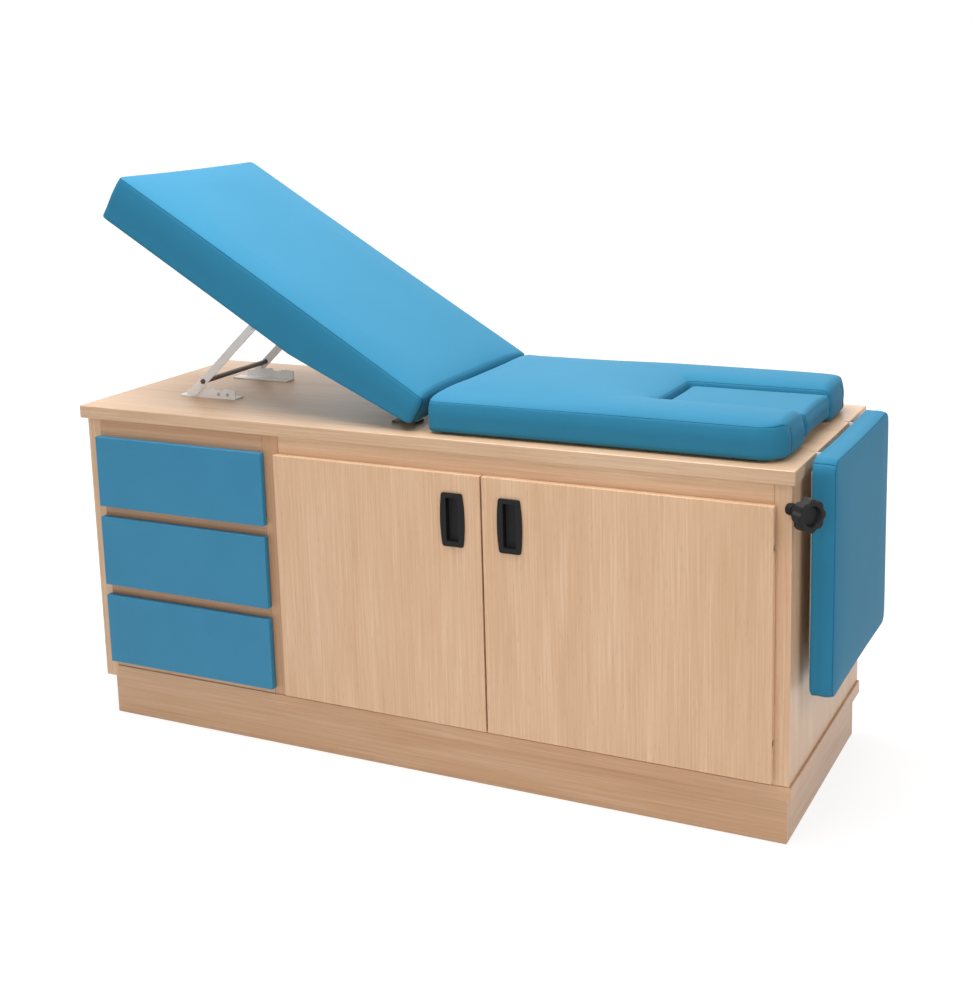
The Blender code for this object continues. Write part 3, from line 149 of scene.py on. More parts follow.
# Drawers: three plywood boxes on plywood ledges, each behind a flat front pressed with blue
# laminate. The fronts stand proud of the frame and are pulled by their edges.
def blue_laminate():
    # High-pressure laminate with a fine pressed texture: even slate blue, satin, slightly
    # mottled, with a soft bright line along an edge that faces the light.
    material, tree, shader = finish_named("blue_laminate_pressed")
    place = add(tree, "TexCoord").outputs["Object"]
    cloud = add(tree, "TexNoise", {"Vector": place, "Scale": 9.0, "Detail": 3.0})
    colour = add(
        tree, "ValToRGB", {0: cloud.outputs[0]}, stops=((0.3, "#3382A7"), (0.7, "#3686AB")))
    tree.links.new(colour.outputs[0], shader.inputs["Base Color"])
    # The pressed texture is about 0.5 mm in life, drawn at 1.5 mm.
    press = add(tree, "TexNoise", {"Vector": place, "Scale": 650.0, "Detail": 2.0})
    relief = add(tree, "Bump", {"Strength": 0.12, "Distance": 0.0002, "Height": press.outputs[0]})
    tree.links.new(relief.outputs[0], shader.inputs["Normal"])
    gloss = add(tree, "MapRange", {0: press.outputs[0], 1: 0.3, 2: 0.7, 3: 0.40, 4: 0.50})
    tree.links.new(gloss.outputs[0], shader.inputs["Roughness"])
    shader.inputs["IOR"].default_value = 1.5
    shader.inputs["Specular IOR Level"].default_value = 0.3
    return material


def birch_plywood():
    # Sanded birch ply: pale cream faces with a faint straight figure, matt.
    material, tree, shader = finish_named("birch_plywood_sanded")
    place = add(tree, "TexCoord").outputs["Object"]
    drawn = add(tree, "Mapping", {"Vector": place, "Scale": (0.1, 0.05, 1.0)}).outputs[0]
    lines = add(tree, "TexNoise", {"Vector": drawn, "Scale": 120.0, "Detail": 3.0})
    colour = add(
        tree, "ValToRGB", {0: lines.outputs[0]}, stops=((0.32, "#C9A67C"), (0.68, "#E3CBA6")))
    tree.links.new(colour.outputs[0], shader.inputs["Base Color"])
    relief = add(tree, "Bump", {"Strength": 0.2, "Distance": 0.0003, "Height": lines.outputs[0]})
    tree.links.new(relief.outputs[0], shader.inputs["Normal"])
    shader.inputs["Roughness"].default_value = 0.62
    return material


drawer_blue = blue_laminate()
plywood = birch_plywood()
dress(drawer_blue, "drawer_lower_front", "drawer_middle_front", "drawer_upper_front")
dress(plywood, "drawer_lower_box", "drawer_middle_box", "drawer_upper_box")
dress(plywood, "drawer_runner_left", "drawer_runner_right")


# Doors: two overlaid slabs of laminated board, upright grain, hung on steel pivot hinges.
# Each has a moulded black cup pull let into its meeting edge.
def zinc_plate():
    # Zinc-plated pressed steel: cool grey, fine drawn lines, soft broken highlights.
    material, tree, shader = finish_named("zinc_plated_steel")
    place = add(tree, "TexCoord").outputs["Object"]
    drawn = add(tree, "Mapping", {"Vector": place, "Scale": (0.05, 1.0, 1.0)}).outputs[0]
    lines = add(tree, "TexNoise", {"Vector": drawn, "Scale": 900.0, "Detail": 2.0})
    colour = add(
        tree, "ValToRGB", {0: lines.outputs[0]}, stops=((0.3, "#9A9CA0"), (0.7, "#C4C6C8")))
    tree.links.new(colour.outputs[0], shader.inputs["Base Color"])
    gloss = add(tree, "MapRange", {0: lines.outputs[0], 1: 0.3, 2: 0.7, 3: 0.25, 4: 0.42})
    tree.links.new(gloss.outputs[0], shader.inputs["Roughness"])
    shader.inputs["Metallic"].default_value = 1.0
    return material


def black_plastic():
    # Moulded black plastic with a fine spark-eroded texture: near black, soft wide highlights.
    material, tree, shader = finish_named("moulded_black_plastic")
    place = add(tree, "TexCoord").outputs["Object"]
    # The mould's texture is about 0.3 mm in life, drawn at 1 mm.
    grit = add(tree, "TexNoise", {"Vector": place, "Scale": 1000.0, "Detail": 2.0})
    colour = add(
        tree, "ValToRGB", {0: grit.outputs[0]}, stops=((0.3, "#0B0B0C"), (0.7, "#131314")))
    tree.links.new(colour.outputs[0], shader.inputs["Base Color"])
    relief = add(tree, "Bump", {"Strength": 0.15, "Distance": 0.0002, "Height": grit.outputs[0]})
    tree.links.new(relief.outputs[0], shader.inputs["Normal"])
    gloss = add(tree, "MapRange", {0: grit.outputs[0], 1: 0.3, 2: 0.7, 3: 0.42, 4: 0.55})
    tree.links.new(gloss.outputs[0], shader.inputs["Roughness"])
    shader.inputs["IOR"].default_value = 1.5
    shader.inputs["Specular IOR Level"].default_value = 0.25
    return material


zinc = zinc_plate()
plastic = black_plastic()
dress(panel_upright, "left_door", "right_door")
dress(zinc, "left_door_pivot_lower", "left_door_pivot_upper")
dress(zinc, "right_door_pivot_lower", "right_door_pivot_upper")


# Cup pulls: each moulded in one piece, a barrel-sided flange with rounded corners over the door's
# face and a blind cup let into the door. Pressed in, with no screws to be seen.
def select_only(piece, part, test):
    """Leaves a piece in edit mode with the faces, edges or points selected that pass a test.

    The test is given each one's place, and its normal or an edge's direction.
    """
    bpy.ops.object.select_all(action="DESELECT")
    bpy.context.view_layer.objects.active = piece
    piece.select_set(True)
    bpy.ops.object.mode_set(mode="EDIT")
    bpy.ops.mesh.select_mode(type=part)
    bpy.ops.mesh.select_all(action="DESELECT")
    bpy.ops.object.mode_set(mode="OBJECT")
    spots = [v.co.copy() for v in piece.data.vertices]
    for face in piece.data.polygons:
        face.select = part == "FACE" and test(face.center, face.normal)
    for edge in piece.data.edges:
        start, end = (spots[k] for k in edge.vertices)
        edge.select = part == "EDGE" and test((start + end) / 2, (end - start).normalized())
    for vertex, spot in zip(piece.data.vertices, spots):
        vertex.select = part == "VERT" and test(spot, vertex.normal)
    bpy.ops.object.mode_set(mode="EDIT")


def block(name, low, high):
    """A block between two corners, to be shaped into a piece."""
    low, high = Vector(low), Vector(high)
    bpy.ops.object.select_all(action="DESELECT")
    bpy.ops.mesh.primitive_cube_add(size=1, location=(low + high) / 2, scale=high - low)
    piece = bpy.context.object
    piece.name = piece.data.name = name
    bpy.ops.object.transform_apply(location=True, rotation=True, scale=True)
    return piece


def join_shape(piece, tool, operation):
    """Adds a tool's shape to a piece or takes it out, and clears the tool away."""
    bpy.ops.object.select_all(action="DESELECT")
    bpy.context.view_layer.objects.active = piece
    piece.select_set(True)
    change = piece.modifiers.new("change", "BOOLEAN")
    change.operation = operation
    change.solver = "EXACT"
    change.object = tool
    bpy.ops.object.modifier_apply(modifier="change")
    bpy.data.objects.remove(tool)


def ease_edges(piece, width, sharp):
    """Rounds a piece's edges over and smooths its faces up to an angle in degrees."""
    ease = piece.modifiers.new("ease", "BEVEL")
    ease.width = width
    ease.segments = 3
    ease.limit_method = "ANGLE"
    ease.angle_limit = math.radians(sharp)
    bpy.ops.object.select_all(action="DESELECT")
    bpy.context.view_layer.objects.active = piece
    piece.select_set(True)
    bpy.ops.object.modifier_apply(modifier="ease")
    bpy.ops.object.shade_smooth_by_angle(angle=math.radians(sharp))


pull_centre = Vector((0.138, -0.3183, 0.6125))
pull_spacing = 0.135
flange_half_end, flange_half_tall, flange_swell = 0.0247, 0.0595, 0.172
flange_back, flange_face, flange_corner = -0.3163, -0.3203, 0.0045
cup_half_wide, cup_half_tall, cup_front, cup_depth, cup_corner = 0.016, 0.0505, 0.001, 0.0139, 0.004
recess_half_wide, recess_half_tall, recess_floor, recess_corner = 0.0146, 0.0490, -0.3066, 0.003
recess_taper, pull_ease = (0.9, 1, 0.95), 0.0009
half_slices = 7
left_pull = block(
    "left_pull_moulding",
    (pull_centre.x - flange_half_end, flange_face, pull_centre.z - flange_half_tall),
    (pull_centre.x + flange_half_end, flange_back, pull_centre.z + flange_half_tall))
select_only(left_pull, "EDGE", lambda spot, way: abs(way.y) > 0.9)
bpy.ops.mesh.bevel(offset=flange_corner, segments=5)
for count in range(1, 2 * half_slices):
    bpy.ops.mesh.select_all(action="SELECT")
    height = pull_centre.z + flange_half_tall * (count / half_slices - 1)
    bpy.ops.mesh.bisect(plane_co=(0, 0, height), plane_no=(0, 0, 1))
bpy.ops.object.mode_set(mode="OBJECT")
for height in sorted({round(v.co.z, 5) for v in left_pull.data.vertices}):
    widen = 1 + flange_swell * (1 - ((height - pull_centre.z) / flange_half_tall) ** 2)
    select_only(left_pull, "VERT", lambda spot, normal: abs(spot.z - height) < 1e-5)
    bpy.ops.transform.resize(value=(widen, 1, 1), center_override=pull_centre)
    bpy.ops.object.mode_set(mode="OBJECT")
cup = block(
    "pull_cup", pull_centre + Vector((-cup_half_wide, -cup_front, -cup_half_tall)),
    pull_centre + Vector((cup_half_wide, cup_depth, cup_half_tall)))
select_only(cup, "EDGE", lambda spot, way: abs(way.y) > 0.9)
bpy.ops.mesh.bevel(offset=cup_corner, segments=4)
bpy.ops.object.mode_set(mode="OBJECT")
join_shape(left_pull, cup, "UNION")
recess = block(
    "pull_recess",
    (pull_centre.x - recess_half_wide, flange_face - 0.002, pull_centre.z - recess_half_tall),
    (pull_centre.x + recess_half_wide, recess_floor, pull_centre.z + recess_half_tall))
select_only(recess, "FACE", lambda spot, normal: normal.y > 0.9)
bpy.ops.transform.resize(
    value=recess_taper, center_override=(pull_centre.x, recess_floor, pull_centre.z))
bpy.ops.object.mode_set(mode="OBJECT")
select_only(recess, "EDGE", lambda spot, way: abs(way.y) > 0.6)
bpy.ops.mesh.bevel(offset=recess_corner, segments=4)
bpy.ops.object.mode_set(mode="OBJECT")
join_shape(left_pull, recess, "DIFFERENCE")
ease_edges(left_pull, pull_ease, 40)
left_pull.data.materials.append(plastic)
right_pull = bpy.data.objects.new("right_pull_moulding", left_pull.data.copy())
bpy.context.scene.collection.objects.link(right_pull)
right_pull.data.transform(Matrix.Translation((pull_spacing, 0, 0)))
for pull, door in ((left_pull, "left_door"), (right_pull, "right_door")):
    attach(pull, door)
    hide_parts(door + "_pull")


# Backrest: a foam cushion boxed in blue vinyl, with a bevelled heel at the hinge and a pocket
# underneath that takes the folded prop. The top is sewn to the side band along the sides and the
# head, and rolls over the heel without a cross seam.
def blue_vinyl():
    # Upholstery vinyl with a fine leather print, stretched over foam: mid blue, paler where it is
    # seen at a low angle, satin, with a dark painted shade line along each seam's groove.
    material, tree, shader = finish_named("upholstery_vinyl_blue")
    place = add(tree, "TexCoord").outputs["Object"]
    cloud = add(tree, "TexNoise", {"Vector": place, "Scale": 5.0, "Detail": 3.0})
    colour = add(
        tree, "ValToRGB", {0: cloud.outputs[0]}, stops=((0.3, "#2E7A9B"), (0.7, "#307D9F")))
    # Painted shade: the colour darkens to a deep blue along each seam, where the drawn-in groove is
    # shaded.
    seam = add(tree, "Attribute", attribute_name="seam").outputs["Fac"]
    line = add(tree, "MapRange", {0: seam, 1: 0.6, 2: 0.9, 3: 0.0, 4: 0.9})
    seam_shade_tone = linear("#0C3A56")
    final = add(
        tree, "Mix", {0: line.outputs[0], 6: colour.outputs[0], 7: seam_shade_tone}, data_type="RGBA")
    tree.links.new(final.outputs[2], shader.inputs["Base Color"])
    # The print's pebbles are about 0.8 mm in life, drawn at 2 mm.
    pebble = add(tree, "TexVoronoi", {"Vector": place, "Scale": 500.0}, feature="SMOOTH_F1")
    relief = add(tree, "Bump", {"Strength": 0.12, "Distance": 0.0003, "Height": pebble.outputs[0]})
    tree.links.new(relief.outputs[0], shader.inputs["Normal"])
    gloss = add(tree, "MapRange", {0: pebble.outputs[0], 1: 0.0, 2: 0.7, 3: 0.62, 4: 0.54})
    tree.links.new(gloss.outputs[0], shader.inputs["Roughness"])
    shader.inputs["IOR"].default_value = 1.5
    shader.inputs["Specular IOR Level"].default_value = 0.07
    shader.inputs["Sheen Weight"].default_value = 0.06
    shader.inputs["Sheen Roughness"].default_value = 0.5
    shader.inputs["Sheen Tint"].default_value = linear("#DFF2FA")
    return material


def spaced(stops, step):
    """Grid lines about a step apart, with one at each stop."""
    stops = sorted(stops)
    lines = [stops[0]]
    for low, high in zip(stops, stops[1:]):
        count = max(1, round((high - low) / step))
        lines += [low + (high - low) * (k + 1) / count for k in range(count)]
    return lines


def near(value, edge):
    """A value as a share of an edge's width, held between 0 and 1."""
    return min(max(value / edge, 0.0), 1.0)


def cushion(name, x, y, corners, seam, under, crown, place, notch=None, fall=(0.0, 0.0),
            stops=((), ()), posts=(), soften=0.011):
    """A boxed cushion that lies on the height under(x, y) and has its top seam at one height.

    corners are the radii at the low and the high X end, notch the start and half width of a gap in
    the high end, fall the radii of a top that rolls over the low and the high end without a cross
    seam, stops more grid lines, posts the places of upright seams, and soften the radius of the
    lower edge.
    """
    # Mesh: the row beside a seam, and the grid.
    band, step = 0.0035, 0.011
    # Plan: how far in an edge is felt, how far the sides are drawn in between the corners, how far
    # the seam is set in, and the radii at a notch's mouth and of the tightest corner.
    reach, draw, roll = 0.045, 0.004, 0.004
    notch_corner, least_corner = 0.012, 0.003
    # Rise: the share of the crown that is built in, the run of its slope, and how a rolled end
    # steepens it. The cloth then gives a share of the crown on top and a little at the sides.
    rise_share, rise_run, rolled_rise = 0.55, 0.024, 17
    top_give, side_give = 0.4, 0.0045
    wall_shares = (0.04, 0.16, 0.34, 0.55, 0.77)
    # The seam stops where a rolled end has fallen by this share, and is drawn in by this much.
    seam_stop, seam_depth = 0.6, 0.0016
    (x0, x1), (y0, y1) = x, y
    r0, r1 = corners
    lines_x = [x0, x0 + band, x0 + r0 / 2, x0 + r0]
    lines_x += [x1 - r1, x1 - r1 / 2, x1 - band, x1, *stops[0]]
    lines_y = [y0, y0 + band, y0 + r0, y0 + r1, y1 - r0, y1 - r1, y1 - band, y1, *stops[1]]
    for turn in (0, 18, 36, 54, 72):
        share = 1 - math.sin(math.radians(turn))
        if fall[0]:
            lines_x.append(x0 + fall[0] * share)
        if fall[1]:
            lines_x.append(x1 - fall[1] * share)
    if notch:
        lines_x += [notch[0] - band, notch[0]]
        for side in (-1, 1):
            lines_y += [side * notch[1], side * (notch[1] + band)]
    grid_x = spaced({round(v, 5) for v in lines_x}, step)
    grid_y = spaced({round(v, 5) for v in lines_y}, step)

    def shaped(px, py, inset):
        """A plan point moved in from the edges by the inset, with the corners rounded."""
        along, across = 2 * (px - x0) / (x1 - x0) - 1, 2 * (py - y0) / (y1 - y0) - 1
        pull = inset + draw * (1 - along ** 2) * across ** 8
        if not notch:
            pull += draw * (1 - across ** 2) * along ** 8
        qx, qy = px, py
        if notch:
            wide = near(px - notch[0] + reach, reach)
            deep = near(notch[1] + reach - abs(py), reach)
            if abs(py) >= notch[1] - 1e-6:
                push = inset * (1 - near(abs(py) - notch[1], reach)) * wide
                qy += math.copysign(push, py)
            if px <= notch[0] + 1e-6:
                qx -= inset * (1 - near(notch[0] - px, reach)) * deep
        qx += pull * (1 - near(px - x0, reach)) - pull * (1 - near(x1 - px, reach))
        qy += pull * (1 - near(py - y0, reach)) - pull * (1 - near(y1 - py, reach))
        turns = [(x0, y0, -1, -1, r0), (x0, y1, -1, 1, r0), (x1, y0, 1, -1, r1), (x1, y1, 1, 1, r1)]
        if notch:
            turns += [(x1, side * notch[1], 1, -side, notch_corner) for side in (-1, 1)]
        for cx, cy, sx, sy, radius in turns:
            tight = max(radius - pull, least_corner)
            pull_y = inset if notch and abs(cy) == notch[1] else pull
            u = ((qx - cx) * sx + pull) / tight + 1
            v = ((qy - cy) * sy + pull_y) / tight + 1
            if 0 < u <= 1.001 and 0 < v <= 1.001:
                u, v = u * math.sqrt(1 - v * v / 2), v * math.sqrt(1 - u * u / 2)
                qx = cx - sx * (pull + tight * (1 - u))
                qy = cy - sy * (pull_y + tight * (1 - v))
        return qx, qy

    def drop(px, py):
        """How far a rolled end lies below the seam's height."""
        off, radius, corner = min((px - x0, fall[0], r0), (x1 - px, fall[1], r1))
        if off >= radius:
            return 0.0
        fade = near(min(py - y0, y1 - py), corner)
        depth = radius - math.sqrt(max(radius ** 2 - (radius - off) ** 2, 0.0))
        return depth * fade * fade * (3 - 2 * fade)

    def inside(px, py):
        """Whether a plan point lies clear of the notch."""
        return not (notch and px > notch[0] and abs(py) < notch[1])

    verts, faces, seams, caps = [], [], [], []
    top, base = {}, {}
    for i, px in enumerate(grid_x):
        for j, py in enumerate(grid_y):
            if notch and px > notch[0] + 1e-6 and abs(py) < notch[1] - 1e-6:
                continue
            gaps = [(py - y0, 1.0), (y1 - py, 1.0)]
            for gap, rolled in zip((px - x0, x1 - px), fall):
                gaps.append((gap, rolled_rise * rolled if rolled else 1.0))
            if notch:
                gaps.append((max(notch[0] - px, abs(py) - notch[1]), 1.0))
            rise = rise_share * crown
            for gap, share in gaps:
                rise *= 1 - share * math.exp(-max(gap, 0.0) / (rise_run / share))
            qx, qy = shaped(px, py, roll)
            top[i, j] = len(verts)
            verts.append((qx, qy, seam - drop(px, py) + rise))
            caps.append(top_give * crown)
            seams.append(0.0)
    cells = []
    for i in range(len(grid_x) - 1):
        for j in range(len(grid_y) - 1):
            if inside((grid_x[i] + grid_x[i + 1]) / 2, (grid_y[j] + grid_y[j + 1]) / 2):
                cells.append((i, j))
                faces.append((top[i, j], top[i + 1, j], top[i + 1, j + 1], top[i, j + 1]))
    # The rim, as directed steps along the edge of the top.
    steps = set()
    for i, j in cells:
        corner = [(i, j), (i + 1, j), (i + 1, j + 1), (i, j + 1)]
        for a, b in zip(corner, corner[1:] + corner[:1]):
            if (b, a) in steps:
                steps.discard((b, a))
            else:
                steps.add((a, b))
    rim = sorted({a for a, b in steps})
    levels = [(roll * (1 - math.sin(math.pi * share)), None, share) for share in wall_shares]
    for turn in (90, 60, 30):
        angle = math.radians(turn)
        levels.append((soften * (1 - math.sin(angle)), soften * (1 - math.cos(angle)), None))
    above = {key: top[key] for key in rim}
    upright = set()
    for post in posts:
        upright.add(min(rim, key=lambda key: math.hypot(
            grid_x[key[0]] - post[0], grid_y[key[1]] - post[1])))
    for key in rim:
        px, py = grid_x[key[0]], grid_y[key[1]]
        if key in upright or drop(px, py) <= seam_stop * fall[px > (x0 + x1) / 2]:
            seams[top[key]] = 1.0
    for inset, lift, share in levels:
        ring = {}
        for key in rim:
            px, py = grid_x[key[0]], grid_y[key[1]]
            high = verts[top[key]][2]
            low = under(px, py)
            bottom = low + soften
            qx, qy = shaped(px, py, inset)
            ring[key] = len(verts)
            verts.append((qx, qy, high + (bottom - high) * share if lift is None else low + lift))
            caps.append(side_give if lift is None else 0.0)
            seams.append(1.0 if key in upright else 0.0)
        for a, b in steps:
            faces.append((above[a], ring[a], ring[b], above[b]))
        above = ring
    for i, px in enumerate(grid_x):
        for j, py in enumerate(grid_y):
            if (i, j) not in top:
                continue
            qx, qy = shaped(px, py, soften)
            base[i, j] = len(verts)
            verts.append((qx, qy, under(px, py)))
            caps.append(0.0)
            seams.append(0.0)
    for a, b in steps:
        faces.append((above[a], base[a], base[b], above[b]))
    for i, j in cells:
        faces.append((base[i, j], base[i, j + 1], base[i + 1, j + 1], base[i + 1, j]))

    mesh = bpy.data.meshes.new(name)
    mesh.from_pydata([place @ Vector(v) for v in verts], [], faces)
    mesh.attributes.new("seam", "FLOAT", "POINT").data.foreach_set("value", seams)
    pad = bpy.data.objects.new(name, mesh)
    bpy.context.scene.collection.objects.link(pad)
    mesh.shade_smooth()
    swell(pad, np.array(caps), np.array(seams))
    tuck(pad, np.array(seams), seam_depth)
    return pad


def swell(pad, caps, seams):
    """Blows the cover out over its foam as cloth held at seams and underside, and evens it."""
    pressure, frames, passes = 4.0, 20, 16
    start = np.array([v.co for v in pad.data.vertices])
    held = pad.vertex_groups.new(name="held")
    held.add([int(k) for k in np.nonzero((seams > 0.5) | (caps < 1e-6))[0]], 1.0, "REPLACE")
    cloth = pad.modifiers.new("cover", "CLOTH")
    cloth.settings.use_pressure = True
    cloth.settings.uniform_pressure_force = pressure
    cloth.settings.effector_weights.gravity = 0.0
    cloth.settings.vertex_group_mass = "held"
    cloth.collision_settings.use_collision = False
    cloth.point_cache.frame_start = 1
    cloth.point_cache.frame_end = frames
    for count in range(1, frames + 1):
        bpy.context.scene.frame_set(count)
    bpy.ops.object.select_all(action="DESELECT")
    bpy.context.view_layer.objects.active = pad
    pad.select_set(True)
    bpy.ops.object.modifier_apply(modifier="cover")
    bpy.context.scene.frame_set(1)
    moved = np.array([v.co for v in pad.data.vertices]) - start
    size = np.linalg.norm(moved, axis=1)
    eased = caps * np.tanh(size / np.maximum(caps, 1e-6))
    limit = np.where(size > 1e-9, eased / np.maximum(size, 1e-9), 0.0)
    puff = moved * limit[:, None]
    pairs = np.array([e.vertices for e in pad.data.edges])
    shared = np.bincount(pairs.ravel(), minlength=len(start))[:, None]
    loose = ((seams < 0.5) & (caps > 1e-6))[:, None]
    for count in range(passes):
        total = np.zeros_like(puff)
        np.add.at(total, pairs[:, 0], puff[pairs[:, 1]])
        np.add.at(total, pairs[:, 1], puff[pairs[:, 0]])
        puff = np.where(loose, 0.5 * puff + 0.5 * total / shared, 0.0)
    pad.data.vertices.foreach_set("co", (start + puff).ravel())
    pad.data.update()


def tuck(pad, seams, depth):
    """Draws the seams in, keeps their line sharp and smooths the cover with one subdivision."""
    normals = np.array([v.normal for v in pad.data.vertices])
    spots = np.array([v.co for v in pad.data.vertices])
    pad.data.vertices.foreach_set("co", (spots - normals * (seams * depth)[:, None]).ravel())
    crease = pad.data.attributes.new("crease_edge", "FLOAT", "EDGE")
    sewn = [all(seams[k] > 0.5 for k in edge.vertices) for edge in pad.data.edges]
    crease.data.foreach_set("value", [float(flag) for flag in sewn])
    smooth = pad.modifiers.new("smooth", "SUBSURF")
    smooth.levels = 1
    smooth.render_levels = 1
    bpy.ops.object.select_all(action="DESELECT")
    bpy.context.view_layer.objects.active = pad
    pad.select_set(True)
    bpy.ops.object.modifier_apply(modifier="smooth")
    pad.data.materials.append(vinyl)


vinyl = blue_vinyl()
pad_half = 0.275
backrest_hinge = Matrix.Translation((-0.037, 0, 0.815)) @ Matrix.Rotation(math.radians(31), 4, "Y")
backrest_x, backrest_base, backrest_seam, backrest_crown = (-0.870, 0.054), -0.026, 0.083, 0.011
head_post, heel_post = 0.257, 0.262
bevel_start, bevel_run, bevel_rise = -0.280, 0.346, 0.042
pocket_x, pocket_half, pocket_roof, pocket_wall = (-0.7905, -0.390), 0.195, 0.022, 0.003


def backrest_under(px, py):
    """The underside's height: the roof of the pocket, or the base with its bevel to the heel."""
    if pocket_x[0] <= px <= pocket_x[1] and abs(py) <= pocket_half:
        return pocket_roof
    return backrest_base + max(px - bevel_start, 0.0) / bevel_run * bevel_rise


backrest = cushion(
    "backrest_cushion", backrest_x, (-pad_half, pad_half), (0.018, 0.018), backrest_seam,
    backrest_under, backrest_crown, backrest_hinge,
    stops=((pocket_x[0] - pocket_wall, *pocket_x, pocket_x[1] + pocket_wall, bevel_start),
           (-pocket_half - pocket_wall, -pocket_half, pocket_half, pocket_half + pocket_wall)),
    fall=(0.0, 0.016),
    posts=((backrest_x[0], -head_post), (backrest_x[0], head_post),
           (backrest_x[1], -heel_post), (backrest_x[1], heel_post)), soften=0.005)
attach(backrest, "backrest")
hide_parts("backrest_pad")
dress(plywood, "backrest_board")


# Prop: two flat white struts hung from brackets in the pocket, tied by a dark cross bar that
# drops into notched ratchet plates screwed to the table top. Pressed steel, powder coated.
def powder_coat():
    # Baked white powder coat: warm white, faint orange peel, satin highlights.
    material, tree, shader = finish_named("white_powder_coat")
    place = add(tree, "TexCoord").outputs["Object"]
    # The orange peel is about 1.5 mm across.
    peel = add(tree, "TexNoise", {"Vector": place, "Scale": 650.0, "Detail": 1.0})
    colour = add(
        tree, "ValToRGB", {0: peel.outputs[0]}, stops=((0.3, "#F6F5F5"), (0.7, "#FCFCFB")))
    tree.links.new(colour.outputs[0], shader.inputs["Base Color"])
    relief = add(tree, "Bump", {"Strength": 0.15, "Distance": 0.0002, "Height": peel.outputs[0]})
    tree.links.new(relief.outputs[0], shader.inputs["Normal"])
    shader.inputs["Roughness"].default_value = 0.35
    shader.inputs["IOR"].default_value = 1.5
    return material


def browned_steel():
    # Drawn bar, oiled and browned: dark grey-brown with a dull metal sheen along its length.
    material, tree, shader = finish_named("browned_steel_bar")
    place = add(tree, "TexCoord").outputs["Object"]
    drawn = add(tree, "Mapping", {"Vector": place, "Scale": (1.0, 0.03, 1.0)}).outputs[0]
    lines = add(tree, "TexNoise", {"Vector": drawn, "Scale": 800.0, "Detail": 2.0})
    colour = add(
        tree, "ValToRGB", {0: lines.outputs[0]}, stops=((0.3, "#4A4038"), (0.7, "#6A5F56")))
    tree.links.new(colour.outputs[0], shader.inputs["Base Color"])
    shader.inputs["Roughness"].default_value = 0.45
    shader.inputs["Metallic"].default_value = 0.7
    return material


white_steel = powder_coat()
browned_bar_and_hinge_shade = browned_steel()
dress(white_steel, "prop_strut_front", "prop_strut_rear", "prop_bracket_front", "prop_bracket_rear")
dress(white_steel, "ratchet_plate_front", "ratchet_plate_rear")
# The cross bar is browned steel. The backrest's hinge arms and bases take its dark finish as
# painted shade, so that they read as the deep shadow under the heel.
dress(browned_bar_and_hinge_shade, "prop_bar", "backrest_hinge_arm_front", "backrest_hinge_arm_rear")
dress(browned_bar_and_hinge_shade, "backrest_hinge_base_front", "backrest_hinge_base_rear")


# Rivets: plated domed heads, one near the top of each strut and two in each ratchet plate's web.
# One is turned and the rest are copies.
rivet_radius, rivet_height, rivet_edge = 0.0042, 0.0018, 0.0013
strut_face, web_face = -0.136, -0.1295
strut_spot = (-0.480, strut_face, 0.967)
web_head_spot, web_foot_spot = (-0.592, web_face, 0.797), (-0.566, web_face, 0.797)
bpy.ops.object.select_all(action="DESELECT")
bpy.ops.mesh.primitive_cylinder_add(
    vertices=20, radius=rivet_radius, depth=rivet_height, rotation=(math.pi / 2, 0, 0),
    location=(strut_spot[0], strut_face - rivet_height / 2, strut_spot[2]))
rivet = bpy.context.object
rivet.name = rivet.data.name = "strut_rivet_front"
bpy.ops.object.transform_apply(location=True, rotation=True, scale=True)
select_only(rivet, "FACE", lambda spot, normal: normal.y < -0.9)
bpy.ops.mesh.bevel(offset=rivet_edge, segments=3)
bpy.ops.object.mode_set(mode="OBJECT")
bpy.ops.object.shade_smooth_by_angle(angle=math.radians(50))
rivet.data.materials.append(zinc)
rivets = [(rivet, "prop")]
for name, body, spot in (
        ("strut_rivet_rear", "prop", strut_spot),
        ("ratchet_rivet_front_head", "cabinet", web_head_spot),
        ("ratchet_rivet_front_foot", "cabinet", web_foot_spot),
        ("ratchet_rivet_rear_head", "cabinet", web_head_spot),
        ("ratchet_rivet_rear_foot", "cabinet", web_foot_spot)):
    head = bpy.data.objects.new(name, rivet.data.copy())
    bpy.context.scene.collection.objects.link(head)
    head.data.transform(Matrix.Translation(Vector(spot) - Vector(strut_spot)))
    if "rear" in name:
        head.data.transform(Matrix.Scale(-1, 4, (0, 1, 0)))
        head.data.flip_normals()
    rivets.append((head, body))
for head, body in rivets:
    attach(head, body)


# Seat: a foam cushion on a plywood board, boxed in the same vinyl, open at the foot end where
# the loose infill cushion sits. Its top rolls over the foot end without a cross seam.
seat_start, seat_end, seat_seam, seat_crown = 0.0585, 0.844, 0.857, 0.029
seat_board_x, seat_board_half = (0.093, 0.816), 0.248
board_slack, board_wall = 0.001, 0.003
over_board, over_slab = 0.7976, 0.789
cutout_start, cutout_half = 0.526, 0.105
foot_post, crease_post = 0.213, 0.262


def seat_under(px, py):
    """The underside's height: over the board, or round it close to the slab."""
    over = seat_board_x[0] - board_slack <= px <= seat_board_x[1] + board_slack
    return over_board if over and abs(py) <= seat_board_half else over_slab


seat = cushion(
    "seat_cushion", (seat_start, seat_end), (-pad_half, pad_half), (0.015, 0.062), seat_seam,
    seat_under, seat_crown, Matrix.Identity(4), notch=(cutout_start, cutout_half),
    fall=(0.006, 0.020),
    stops=((seat_board_x[0] - board_slack - board_wall, seat_board_x[0] - board_slack,
            seat_board_x[1] + board_slack, seat_board_x[1] + board_slack + board_wall),
           (-seat_board_half - board_wall, -seat_board_half,
            seat_board_half, seat_board_half + board_wall)),
    posts=((seat_end, -foot_post), (seat_end, foot_post),
           (seat_start, -crease_post), (seat_start, crease_post)))
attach(seat, "cabinet")
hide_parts("seat_pad")
dress(plywood, "seat_board")

